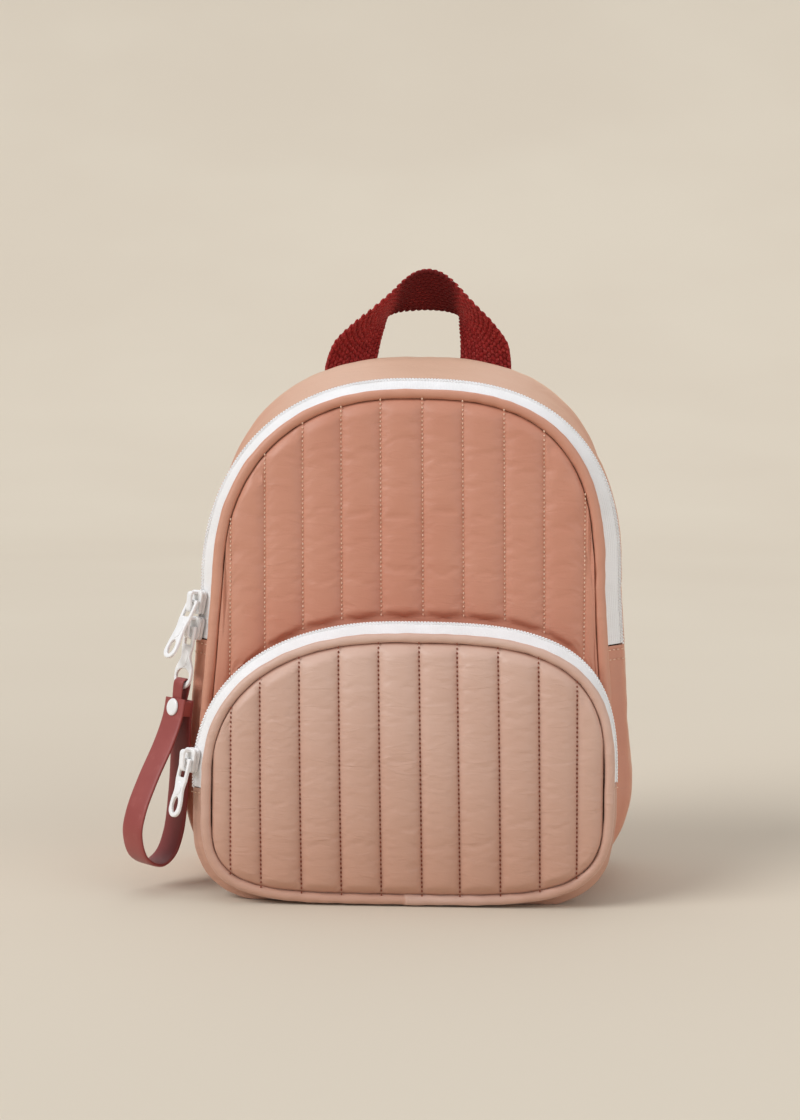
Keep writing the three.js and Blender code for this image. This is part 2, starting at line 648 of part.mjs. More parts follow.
const arch = mainSeam.stations(mainRight + seamGap, mainLeft - seamGap, 36);
const underside = mainSeam.stations(mainLeft + seamGap, 1 + mainRight - seamGap, 36);
add(bag, "front_panel", frontPanel(), TERRACOTTA);
add(bag, "front_piping", piping(mainSeam, frontY), TERRACOTTA);
add(bag, "main_zip_tape", wall(arch, ZIP_RINGS, mainPoint, TAPE), WHITE);
add(bag, "upper_gusset", wall(arch, GUSSET_RINGS, mainPoint, WALL), TERRACOTTA);
const fullRings = [...ZIP_RINGS, ...GUSSET_RINGS.slice(1)];
add(bag, "lower_gusset", wall(underside, fullRings, mainPoint, WALL), TERRACOTTA);
add(bag, "back_panel", backPanel(), TERRACOTTA);

const pocketArch = pocketStations(pocketRight + seamGap, pocketLeft - seamGap, 30);
const pocketUnderside = pocketStations(pocketLeft + seamGap, 1 + pocketRight - seamGap, 28);
add(bag, "pocket_panel", pocketPanel(), DUSTY_PINK);
add(bag, "pocket_piping", piping(pocketSeam, pocketY), DUSTY_PINK);
add(bag, "pocket_zip_tape", wall(pocketArch, POCKET_ZIP_RINGS, pocketPoint, TAPE), WHITE);
add(bag, "pocket_zip_welt", wall(pocketArch, POCKET_WALL_RINGS, pocketPoint, WALL), TERRACOTTA);
const pocketRings = [...POCKET_ZIP_RINGS, ...POCKET_WALL_RINGS.slice(1)];
add(bag, "pocket_gusset", wall(pocketUnderside, pocketRings, pocketPoint, WALL), DUSTY_PINK);

const mainAt = (share) => mainSeam.stations(share, share, 1)[0];
const pocketAt = (share) => pocketStations(share, share, 1)[0];
const hardware = {
  mainUpper: { prefix: "main", suffix: "_upper", tip: PULL_TIP },
  mainLower: { prefix: "main", suffix: "_lower", tip: STRAP_TIP },
  pocket: { prefix: "pocket", suffix: "", tip: PULL_TIP },
};
for (const [key, { prefix, suffix, tip }] of Object.entries(hardware)) {
  const { height, swing, length } = SLIDERS[key];
  const frame = prefix === "main"
    ? sliderFrame(mainSeam, mainAt, mainPoint, ZIP_RINGS, height)
    : sliderFrame(pocketSeam, pocketAt, pocketPoint, POCKET_ZIP_RINGS, height);
  const seat = new THREE.Group();
  seat.name = `${prefix}_seat${suffix}`;
  frame.decompose(seat.position, seat.quaternion, seat.scale);
  bag.add(seat);
  add(seat, `${prefix}_slider${suffix}`, slider(), WHITE, PLASTIC);
  const hinge = new THREE.Group();
  hinge.name = `${prefix}_hinge${suffix}`;
  hinge.position.z = PULL.pivot;
  hinge.rotation.x = -radians(swing);
  seat.add(hinge);
  add(hinge, `${prefix}_pull${suffix}`, pull(length, tip), WHITE, PLASTIC);
  if (key === "mainLower") {
    add(hinge, "tag_strap", tagStrap(), RED_RUBBER, RUBBER);
    add(hinge, "tag_rivet", tagRivet(), WHITE, PLASTIC);
  }
}

add(bag, "grab_handle", handle(), BURGUNDY);
for (const [name, side] of [["left", -1], ["right", 1]]) {
  const { band, webbing, frame } = shoulderStrap(side);
  add(bag, `shoulder_strap_${name}`, band, TERRACOTTA);
  add(bag, `strap_webbing_${name}`, webbing, BURGUNDY);
  const buckle = add(bag, `strap_adjuster_${name}`, adjuster(), WHITE, PLASTIC);
  frame.decompose(buckle.position, buckle.quaternion, buckle.scale);
}

export default bag;
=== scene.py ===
"""Dresses the mini backpack: quilted cloth, zips, webbing, hardware and a plain studio.

Sizes are millimetres in the part's own frame: +X to the right seen from the front, the front towards
-Y, +Z up, and the origin at the centre of the flat base. They become metres when a mesh is made.
"""
from __future__ import annotations

import logging
import math
from dataclasses import astuple, dataclass, field, replace
from enum import Enum
from functools import cached_property
from typing import Callable, Sequence

import bpy
import numpy as np
from mathutils import Matrix, Vector

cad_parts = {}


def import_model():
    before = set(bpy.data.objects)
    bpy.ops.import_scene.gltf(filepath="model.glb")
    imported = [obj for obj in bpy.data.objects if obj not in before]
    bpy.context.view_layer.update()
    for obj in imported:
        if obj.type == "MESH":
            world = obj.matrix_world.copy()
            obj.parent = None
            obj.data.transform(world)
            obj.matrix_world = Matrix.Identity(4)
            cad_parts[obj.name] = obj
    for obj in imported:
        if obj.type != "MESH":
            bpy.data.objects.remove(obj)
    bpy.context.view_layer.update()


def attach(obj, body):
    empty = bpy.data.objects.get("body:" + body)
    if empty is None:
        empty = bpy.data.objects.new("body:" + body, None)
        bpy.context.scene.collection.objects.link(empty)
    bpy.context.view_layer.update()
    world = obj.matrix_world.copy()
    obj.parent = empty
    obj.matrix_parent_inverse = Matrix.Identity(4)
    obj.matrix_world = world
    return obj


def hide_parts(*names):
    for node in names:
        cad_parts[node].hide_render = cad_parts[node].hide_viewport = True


MM = 0.001
WAVES = 14  # sine waves in one ripple
WAVE_PACES = (0.6, 1.6)  # of the waves, against the usual one
WAVE_SUM = 4  # height that the waves usually reach together
SEAM_STATIONS = 2401  # points in which a seam is walked
SEAM_STEP = 0.002  # share of a seam, on both sides of a point, that its normal is read from
TINY = 1e-6  # keeps a division from failing
Array = np.ndarray
Pair = tuple[float, float]
Outline = list[Pair]
Table = tuple[tuple[float, ...], ...]
Socket = bpy.types.NodeSocket
LOG = logging.getLogger("mini_backpack")


def frame_of(x: Sequence[float], y: Sequence[float], z: Sequence[float], origin: Sequence[float]) -> Array:
    """A 4 by 4 frame from its three axes and its origin."""
    frame = np.eye(4)
    frame[:3] = np.stack([x, y, z, origin], -1)
    return frame


def smoothstep(value: Array, low: float, high: float) -> Array:
    """Eases from 0 at low to 1 at high."""
    part = np.clip((value - low) / (high - low), 0, 1)
    return part * part * (3 - 2 * part)


def unit(vectors: Array) -> Array:
    """Scales vectors along the last axis to length 1."""
    return vectors / np.maximum(np.linalg.norm(vectors, axis=-1, keepdims=True), 1e-9)


def walked(points: Array) -> Array:
    """Length walked along a line at each of its points."""
    steps = np.linalg.norm(np.diff(points, axis=0), axis=1)
    return np.concatenate([[0], np.cumsum(steps)])


def ripple(points: Array, wavelength: float, seed: int, stretch: Sequence[float] = (1, 1, 1)) -> Array:
    """Soft waves through space, about -1 to 1.

    Args:
        points: places, in millimetres, along the last axis.
        wavelength: usual distance between two crests.
        seed: picks the waves, and the same seed gives the same waves.
        stretch: how much longer the waves are along X, Y and Z.

    Returns:
        One height for each place.
    """
    dice = np.random.default_rng(seed)
    ways = unit(dice.normal(size=(WAVES, 3))) / np.asarray(stretch)
    pace = 2 * math.pi / wavelength * dice.uniform(*WAVE_PACES, WAVES)
    waves = np.sin(points @ (ways * pace[:, None]).T + dice.uniform(0, 2 * math.pi, WAVES))
    return waves.sum(-1) / WAVE_SUM


def puckered(points: Array, puckers: Sequence[Sequence[float]]) -> Array:
    """Heights of small waves added up. Each kind has a height, a wavelength and a seed."""
    return sum(height * ripple(points, wavelength, seed) for height, wavelength, seed in puckers)


# Seams and surfaces

@dataclass(frozen=True)
class Bow:
    """Upper or lower half of a seam line, with widths and squareness for its left and right side.

    Square 2 is round, and more is squarer.
    """

    half_width: Pair
    level: float
    height: float
    square: Pair

    def wider(self, distance: float) -> Bow:
        """The same bow, moved outwards."""
        left, right = self.half_width
        return replace(self, half_width=(left + distance, right + distance), height=self.height + distance)

    def width_at(self, x: Array) -> Array:
        """Half width on the side of a point."""
        return np.where(x < 0, *self.half_width)

    def square_at(self, x: Array) -> Array:
        """Squareness on the side of a point."""
        return np.where(x < 0, *self.square)

    def rise(self, x: Array) -> Array:
        """Distance of the bow from its level, at points across it."""
        square = self.square_at(x)
        part = np.minimum(np.abs(x) / self.width_at(x), 1)
        return self.height * (1 - part ** square) ** (1 / square)


@dataclass(frozen=True)
class SeamLine:
    """A closed seam in the X-Z plane: an arch over sloping sides over a rounded base.

    A share of the way round is 0 at the bottom centre, runs up the right side to 0.5 at the top, and
    comes down the left side to 1.
    """

    arch: Bow
    base: Bow

    def grow(self, distance: float) -> SeamLine:
        """The seam moved outwards by a distance."""
        return SeamLine(self.arch.wider(distance), self.base.wider(distance))

    @cached_property
    def walk(self) -> tuple[Array, Array]:
        """Points round the seam, and the length walked at each."""
        angle = np.linspace(-0.5, 1.5, SEAM_STATIONS) * math.pi
        across, up = np.cos(angle), np.sin(angle)
        runs = []
        for bow in (self.base, self.arch):
            power = 2 / bow.square_at(across)
            x = bow.width_at(across) * np.sign(across) * np.abs(across) ** power
            runs.append(np.stack([x, bow.level + bow.height * np.sign(up) * np.abs(up) ** power], -1))
        points = np.where(up[:, None] < 0, *runs)
        return points, walked(points)

    def points(self, shares: Array) -> Array:
        """Points (x, z) at shares of the way round."""
        points, lengths = self.walk
        target = np.mod(shares, 1) * lengths[-1]
        return np.stack([np.interp(target, lengths, points[:, k]) for k in (0, 1)], -1)

    def normals(self, shares: Array) -> Array:
        """Outward normals (x, z) at shares of the way round."""
        along = unit(self.points(shares + SEAM_STEP) - self.points(shares - SEAM_STEP))
        return np.stack([along[..., 1], -along[..., 0]], -1)

    def share_at(self, height: float, left: bool = False) -> float:
        """Share at which the right or the left side reaches a height."""
        points, lengths = self.walk
        half = len(points) // 2 + 1
        run = slice(None, half - 2, -1) if left else slice(half)
        return float(np.interp(height, points[run, 1], lengths[run]) / lengths[-1])

    def reach(self, x: Array) -> Array:
        """How far the seam reaches to the side of a point."""
        return self.base.width_at(x)

    def top(self, x: Array) -> Array:
        """Height of the seam's upper run at a distance from its middle."""
        width, drop = self.arch.width_at(x), self.arch.level - self.base.level
        beyond = np.abs(x) - width
        slope = drop * np.clip(beyond / np.maximum(self.reach(x) - width, TINY), 0, 1)
        return self.arch.level + np.where(beyond > 0, -slope, self.arch.rise(x))

    def bottom(self, x: Array) -> Array:
        """Height of the seam's lower run at a distance from its middle."""
        return self.base.level - self.base.rise(x)

    def dome(self, x: Array, z: Array) -> Array:
        """Bulge of a panel inside the seam: 1 in the middle and 0 on the seam."""
        low, high = self.bottom(np.zeros(1))[0], self.top(np.zeros(1))[0]
        middle = (low + high) / 2
        across = np.maximum(0, 1 - (x / self.reach(x)) ** 2)
        return across * np.maximum(0, 1 - ((z - middle) / (high - middle)) ** 2)


@dataclass(frozen=True)
class Ring:
    """One line of a sewn wall that runs round a seam.

    Behind is its distance behind the front seam, share its part of the rest of the way back, and side,
    shoulder and top its bulge past the seam there. Foot is its part of the way to the pocket's foot,
    and right and left are what its bulge gains on the right and on the left side.
    """

    behind: float
    share: float
    side: float
    shoulder: float
    top: float
    foot: float = 0.0
    right: float = 0.0
    left: float = 0.0


class Path:
    """A smooth line through points, in the same way as the part's own curves run."""

    def __init__(self, points: Sequence[Sequence[float]]) -> None:
        """Keeps the points, rows of any one length, and one more past each end."""
        inner = np.asarray(points, float)
        self.rows = np.concatenate([[2 * inner[0] - inner[1]], inner, [2 * inner[-1] - inner[-2]]])

    def at(self, shares: Array) -> Array:
        """Points at shares from 0 to 1, with each stretch between two points of the list taken as equal."""
        spans = len(self.rows) - 3
        place = np.clip(np.asarray(shares, float), 0, 1) * spans
        low = np.minimum(np.floor(place).astype(int), spans - 1)
        part = (place - low)[..., None]
        before, start, end, after = (self.rows[low + k] for k in range(4))
        gaps = [np.maximum(np.linalg.norm(b - a, axis=-1, keepdims=True), TINY) ** 0.5
                for a, b in ((before, start), (start, end), (end, after))]
        leave = (start - before) / gaps[0] - (end - before) / (gaps[0] + gaps[1]) + (end - start) / gaps[1]
        arrive = (end - start) / gaps[1] - (after - start) / (gaps[1] + gaps[2]) + (after - end) / gaps[2]
        leave, arrive = leave * gaps[1], arrive * gaps[1]
        bend = -3 * start + 3 * end - 2 * leave - arrive
        twist = 2 * start - 2 * end + leave + arrive
        return start + part * (leave + part * (bend + part * twist))

    def tangents(self, shares: Array) -> Array:
        """Directions of travel at shares from 0 to 1."""
        shares = np.asarray(shares, float)
        return unit(self.at(np.minimum(shares + 1e-4, 1)) - self.at(np.maximum(shares - 1e-4, 0)))


@dataclass(frozen=True)
class BagForm:
    """Where the sewn surfaces run. Every cloth piece reads its place here.

    Inset is how far inside its seam a panel ends, lift how far its stitched lines stand out of the seam,
    and dome how much further they do in its middle. Back grow is how far the back panel reaches past the
    seam, and shoulder is the upward share of the seam's normal at the bag's shoulders.
    """

    depth: float = 78
    lean: float = 4
    pocket_depth: float = 26
    front_inset: float = 1.1
    front_lift: float = 1
    front_dome: float = 3
    pocket_inset: float = 1.2
    pocket_lift: float = 1
    pocket_dome: float = 5
    back_lift: float = 2.3
    back_puff: float = 2
    back_dome: float = 4
    back_grow: float = 9.4
    shoulder: float = 0.45
    cloth_gap: float = 0.3
    middle_height: float = 100
    seam: SeamLine = SeamLine(
        Bow((86.4, 85.2), 140, 86.4, (2.3, 2.8)), Bow((92.8, 91.2), 54, 50.4, (3.5, 3)))
    pocket_seam: SeamLine = SeamLine(
        Bow((88.1, 89.7), 54.4, 64.1, (2.35, 3.15)), Bow((88.1, 89.7), 54.4, 50.5, (4.7, 4)))
    pocket_foot: SeamLine = SeamLine(
        Bow((86.7, 86.2), 54.4, 62, (2.35, 2.6)), Bow((86.7, 86.2), 54.4, 45.2, (3.4, 2.9)))
    zip_ends: Pair = (113, 113)
    pocket_zip_ends: Pair = (50, 55)

    @property
    def back(self) -> float:
        """Depth of the back seam."""
        return self.depth / 2

    def front_y(self, z: Array) -> Array:
        """Depth of the leaning front seam at a height."""
        return -self.depth / 2 + z * math.tan(math.radians(self.lean))

    def pocket_y(self, z: Array) -> Array:
        """Depth of the pocket's seam at a height."""
        return self.front_y(z) - self.pocket_depth

    def front_face(self, x: Array, z: Array) -> Array:
        """Depth of the front panel's face along its stitched lines."""
        return self.front_y(z) - self.front_lift - self.front_dome * self.seam.dome(x, z)

    def pocket_face(self, x: Array, z: Array) -> Array:
        """Depth of the pocket panel's face along its stitched lines."""
        return self.pocket_y(z) - self.pocket_lift - self.pocket_dome * self.pocket_seam.dome(x, z)

    def back_face(self, x: Array, z: Array) -> Array:
        """Depth of the back panel's outer face."""
        dome = self.seam.grow(self.back_grow).dome(x, z)
        return self.back + self.back_lift + self.back_puff + self.back_dome * dome

    def spread(self, seam: SeamLine, foot: SeamLine, shares: Array, rings: Array,
               inset: float) -> tuple[Array, Array]:
        """Spreads rings round a seam, by their bulge, and draws them towards a foot line.

        Args:
            seam: the seam.
            foot: the foot line.
            shares: the stations, as shares of the way round.
            rings: rows of ring sizes.
            inset: how far inside the surface the points lie.

        Returns:
            Places across and heights, stations by rings.
        """
        _, _, side, shoulder, top, drawn, right, left = rings.T
        at, normal = seam.points(shares), seam.normals(shares)
        across, up = normal[:, :1], np.maximum(0, normal[:, 1:])
        low = side + (shoulder - side) * np.minimum(up / self.shoulder, 1)
        high = (top - shoulder) * np.clip((up - self.shoulder) / (1 - self.shoulder), 0, 1)
        ends = right * np.maximum(0, across) ** 4 + left * np.maximum(0, -across) ** 4
        bulge = low + high + ends - inset
        x, z = (at[:, None] + (foot.points(shares) - at)[:, None] * drawn[:, None]).transpose(2, 0, 1)
        return x + normal[:, :1] * bulge, np.maximum(z + normal[:, 1:] * bulge, inset)

    def wall(self, shares: Array, rings: Array, inset: float = 0) -> Array:
        """Points of the main gusset, stations by rings, flattened where it rests on the floor."""
        x, z = self.spread(self.seam, self.seam, shares, rings, inset)
        behind, share = rings[:, :2].T
        start = self.front_y(z) + behind
        return np.stack([x, start + (self.back - start) * share, z], -1)

    def pocket_wall(self, shares: Array, rings: Array, inset: float = 0) -> Array:
        """Points of the pocket's wall, stations by rings, which ends on the front panel."""
        x, z = self.spread(self.pocket_seam, self.pocket_foot, shares, rings, inset)
        behind, share = rings[:, :2].T
        start = self.pocket_y(z) + behind
        end = self.front_face(x, z) - self.cloth_gap
        return np.stack([x, start + (end - start) * share, z], -1)


FORM = BagForm()
ZIP_RINGS = (
    Ring(3.5, 0, 2.2, 2.2, 2.2),
    Ring(7.5, 0, 6.7, 5.9, 5.4, right=1),
    Ring(11, 0, 10, 8.6, 7.8, right=2),
)
GUSSET_RINGS = (
    Ring(11.4, 0, 10.4, 9, 8.4, right=2),
    Ring(11.4, 0.2, 12.7, 10.6, 13, right=0.8, left=-1.2),
    Ring(11.4, 0.5, 14.2, 12, 18.4, right=0.3, left=-1.9),
    Ring(11.4, 0.8, 13, 11.4, 17, left=-1.3),
    Ring(11.4, 0.94, 10.5, 10, 13.4, left=-0.4),
    Ring(11.4, 1, 8, 8, 10),
)
POCKET_ZIP_RINGS = (
    Ring(3.5, 0, 2.2, 2.2, 2.2),
    Ring(7, 0, 5.8, 5.4, 4.8, right=-1.6),
    Ring(10, 0, 8, 7.4, 6.6, right=-3),
)
POCKET_WALL_RINGS = (
    Ring(10.4, 0, 8.2, 7.8, 7, right=-3),
    Ring(10.4, 0.45, 7.4, 7, 6.4, 0.4, right=-2.4),
    Ring(10.4, 0.8, 3.6, 3.6, 3.6, 0.8, right=-1),
    Ring(10.4, 1, 0, 0, 0, 1),
)


def ring_rows(rings: Sequence[Ring], places: Array) -> Array:
    """Smooth rows of ring sizes, at places from 0 at the first ring to 1 at the last."""
    return Path([astuple(ring) for ring in rings]).at(places)


# Meshes

def linked(name: str, data: bpy.types.ID) -> bpy.types.Object:
    """A new object in the scene that holds a mesh, a curve, a light or a camera."""
    obj = bpy.data.objects.new(name, data)
    bpy.context.collection.objects.link(obj)
    return obj


def evaluated(obj: bpy.types.Object) -> bpy.types.Object:
    """An object with its modifiers run."""
    return obj.evaluated_get(bpy.context.evaluated_depsgraph_get())


def coordinates(mesh: bpy.types.Mesh) -> Array:
    """Places of a mesh's vertices, one to a row."""
    places = np.empty(len(mesh.vertices) * 3)
    mesh.vertices.foreach_get("co", places)
    return places.reshape(-1, 3)


@dataclass
class Cloth:
    """Points and faces of a mesh in the making, in millimetres."""

    points: Array
    faces: list[tuple[int, ...]]
    uv: Array | None = None
    # Tone per point, which the finishes turn into painted sheen, painted shade or paler lap cloth.
    tone: Array | None = None

    @staticmethod
    def quads(rows: int, columns: int, wrap_rows: bool = False,
              wrap_columns: bool = False) -> list[tuple[int, ...]]:
        """Quads of a grid of points that are counted row by row.

        Args:
            rows: number of rows.
            columns: number of points in a row.
            wrap_rows: whether the last row joins the first.
            wrap_columns: whether the last column joins the first.

        Returns:
            Faces as tuples of four indices.
        """
        row = np.arange(rows if wrap_rows else rows - 1)[:, None]
        column = np.arange(columns if wrap_columns else columns - 1)[None, :]
        next_row, next_column = (row + 1) % rows, (column + 1) % columns
        corners = (row * columns + column, row * columns + next_column,
                   next_row * columns + next_column, next_row * columns + column)
        return [tuple(face) for face in np.stack(corners, -1).reshape(-1, 4).tolist()]

    @classmethod
    def tube(cls, sections: Array, wrap: bool = False) -> Cloth:
        """A closed solid through sections of points that each go once round.

        Args:
            sections: sections by points by 3.
            wrap: whether the last section joins the first; otherwise both ends are capped.

        Returns:
            The mesh.
        """
        count, sides = sections.shape[:2]
        faces = cls.quads(count, sides, wrap_rows=wrap, wrap_columns=True)
        if not wrap:
            faces.append(tuple(range(sides - 1, -1, -1)))
            faces.append(tuple(range((count - 1) * sides, count * sides)))
        return cls(sections.reshape(-1, 3), faces)

    @classmethod
    def shell(cls, outer: Array, inner: Array) -> Cloth:
        """A closed wall between two grids of the same size.

        Args:
            outer: stations by rings by 3.
            inner: the same points moved inwards.

        Returns:
            The mesh, with a UV map of distances along and across in millimetres.
        """
        rows, columns = outer.shape[:2]
        sections = np.concatenate([outer, inner[:, ::-1]], 1)
        mesh = cls.tube(sections)
        mesh.faces = mesh.faces[:-2]
        width = 2 * columns
        for start, turn in ((0, 1), ((rows - 1) * width, -1)):
            for k in range(columns - 1):
                face = (start + k, start + width - 1 - k, start + width - 2 - k, start + k + 1)
                mesh.faces.append(face[::turn])
        u, v = walked(outer[:, columns // 2]), walked(outer[rows // 2])
        there_and_back = np.concatenate([v, v[::-1]])
        mesh.uv = np.stack(np.broadcast_arrays(u[:, None], there_and_back), -1).reshape(-1, 2)
        return mesh

    def joined(self, other: Cloth) -> Cloth:
        """This mesh and another one as one."""
        start = len(self.points)
        faces = self.faces + [tuple(k + start for k in face) for face in other.faces]
        return Cloth(np.concatenate([self.points, other.points]), faces)

    def moved(self, frame: Array) -> Cloth:
        """The mesh carried into a frame, a 4 by 4 matrix in millimetres."""
        return replace(self, points=self.points @ frame[:3, :3].T + frame[:3, 3])

    def shifted(self, x: float = 0, y: float = 0, z: float = 0) -> Cloth:
        """The mesh moved along the axes."""
        return replace(self, points=self.points + np.array([x, y, z]))

    def object(self, name: str, crease: float = 50) -> bpy.types.Object:
        """A Blender object at the origin, in metres and shaded smooth.

        Args:
            name: the object's name.
            crease: angle in degrees past which an edge stays sharp.

        Returns:
            The object, linked to the scene and with its faces pointing outwards.
        """
        mesh = bpy.data.meshes.new(name)
        mesh.from_pydata((self.points * MM).tolist(), [], self.faces)
        if signed_volume(mesh) < 0:
            mesh.flip_normals()
        corners = np.empty(len(mesh.loops), int)
        mesh.loops.foreach_get("vertex_index", corners)
        if self.uv is not None:
            layer = mesh.uv_layers.new(name="Surface")
            layer.data.foreach_set("uv", (self.uv[corners] * MM).astype(np.float32).ravel())
        if self.tone is not None:
            tone = mesh.attributes.new("tone", "FLOAT", "POINT")
            tone.data.foreach_set("value", self.tone.astype(np.float32))
        mesh.polygons.foreach_set("use_smooth", np.ones(len(mesh.polygons), bool))
        mesh.set_sharp_from_angle(angle=math.radians(crease))
        mesh.validate()
        return linked(name, mesh)


def signed_volume(mesh: bpy.types.Mesh) -> float:
    """Volume of a closed mesh, negative where its faces point inwards."""
    mesh.calc_loop_triangles()
    corners = np.empty(len(mesh.loop_triangles) * 3, int)
    mesh.loop_triangles.foreach_get("vertices", corners)
    a, b, c = coordinates(mesh)[corners.reshape(-1, 3)].transpose(1, 0, 2)
    return float((a * np.cross(b, c)).sum())


def wall_normals(grid: Array) -> Array:
    """Normals of a grid of points, stations by rings, pointing away from the bag's middle."""
    normal = unit(np.cross(np.gradient(grid, axis=0), np.gradient(grid, axis=1)))
    outward = grid - grid.mean((0, 1))
    return normal * np.sign((normal * outward).sum())


def plate(outline: Outline, holes: Sequence[Outline], thickness: float, edge: float) -> Cloth:
    """A flat plate in the X-Y plane with rounded edges.

    Args:
        outline: points round the plate.
        holes: points round each hole.
        thickness: total thickness along Z.
        edge: radius of the rounded edges.

    Returns:
        The mesh, in millimetres.
    """
    curve = bpy.data.curves.new("plate", "CURVE")
    curve.dimensions = "2D"
    curve.fill_mode = "BOTH"
    curve.extrude = thickness / 2 - edge
    curve.bevel_depth = edge
    curve.bevel_resolution = 3
    curve.offset = -edge
    for loop in (outline, *holes):
        spline = curve.splines.new("POLY")
        spline.points.add(len(loop) - 1)
        spline.points.foreach_set("co", [c for x, y in loop for c in (x, y, 0, 1)])
        spline.use_cyclic_u = True
    obj = linked("plate", curve)
    mesh = bpy.data.meshes.new_from_object(evaluated(obj))
    cloth = welded(mesh)
    bpy.data.meshes.remove(mesh)
    bpy.data.objects.remove(obj)
    bpy.data.curves.remove(curve)
    return cloth


def welded(mesh: bpy.types.Mesh) -> Cloth:
    """Points and faces of a mesh with its doubles merged."""
    points = coordinates(mesh)
    _, first, merged = np.unique(np.round(points, 4), axis=0, return_index=True, return_inverse=True)
    faces = []
    for polygon in mesh.polygons:
        face = list(dict.fromkeys(merged.ravel()[list(polygon.vertices)].tolist()))
        if len(face) > 2:
            faces.append(tuple(face))
    return Cloth(points[first], faces)


def arc(centre: Sequence[float], radii: Sequence[float], start: float, end: float,
        steps: int) -> Outline:
    """Points on an ellipse's arc between two angles in degrees."""
    angles = np.radians(np.linspace(start, end, steps + 1))
    return [(centre[0] + radii[0] * math.cos(a), centre[1] + radii[1] * math.sin(a)) for a in angles]


def rounded_box(half_width: float, low: float, high: float, radius: float,
                steps: int = 6) -> Outline:
    """Points round a rectangle with round corners."""
    near, bottom, top = half_width - radius, low + radius, high - radius
    corners = ((near, top), (-near, top), (-near, bottom), (near, bottom))
    return [point for turn, corner in zip((0, 90, 180, 270), corners)
            for point in arc(corner, (radius, radius), turn, turn + 90, steps)]


# Geometry node trees

@dataclass
class Lines:
    """Places that things are set along: points, their way out of the surface, and how they join up."""

    points: list[Array] = field(default_factory=list)
    outs: list[Array] = field(default_factory=list)
    alongs: list[Array] = field(default_factory=list)
    tones: list[Array] = field(default_factory=list)

    def add(self, points: Array, outs: Array, alongs: Array | None = None, tone: Array | float = 0) -> None:
        """Adds one open run.

        Args:
            points: the run's points in millimetres.
            outs: direction out of the surface, one for each point or one for all.
            alongs: direction along the surface, where the run's own direction isn't wanted.
            tone: how far painted shade darkens the finish, for each point or for all.
        """
        self.points.append(points)
        self.outs.append(np.broadcast_to(outs, points.shape))
        self.alongs.append(np.broadcast_to(points if alongs is None else alongs, points.shape))
        self.tones.append(np.broadcast_to(tone, len(points)))

    def mesh(self, name: str) -> bpy.types.Mesh:
        """A mesh of edges, in metres, with the directions as attributes."""
        starts = np.cumsum([0, *(len(run) for run in self.points)])
        edges = [(int(start) + k, int(start) + k + 1)
                 for start, run in zip(starts, self.points) for k in range(len(run) - 1)]
        mesh = bpy.data.meshes.new(name)
        mesh.from_pydata((np.concatenate(self.points) * MM).tolist(), edges, [])
        for label, rows in (("out", self.outs), ("along", self.alongs)):
            values = mesh.attributes.new(label, "FLOAT_VECTOR", "POINT")
            values.data.foreach_set("vector", unit(np.concatenate(rows)).astype(np.float32).ravel())
        tone = mesh.attributes.new("tone", "FLOAT", "POINT")
        tone.data.foreach_set("value", np.concatenate(self.tones).astype(np.float32))
        return mesh


class NodeGraph:
    """Nodes and links of a tree in the making."""

    tree: bpy.types.NodeTree

    def feed(self, socket: Socket, value: object) -> None:
        """Links a socket or sets its value."""
        if isinstance(value, Socket):
            self.tree.links.new(value, socket)
        else:
            socket.default_value = value

    def node(self, kind: str, links: dict[str, object] | None = None, **options: object) -> bpy.types.Node:
        """Adds a node.

        Args:
            kind: the node's type name.
            links: for each input, the socket that feeds it or a plain value.
            options: the node's own settings.

        Returns:
            The node.
        """
        node = self.tree.nodes.new(kind)
        for name, value in options.items():
            setattr(node, name, value)
        for name, value in (links or {}).items():
            socket = next(s for s in node.inputs if s.identifier == name or s.name == name and s.enabled)
            self.feed(socket, value)
        return node


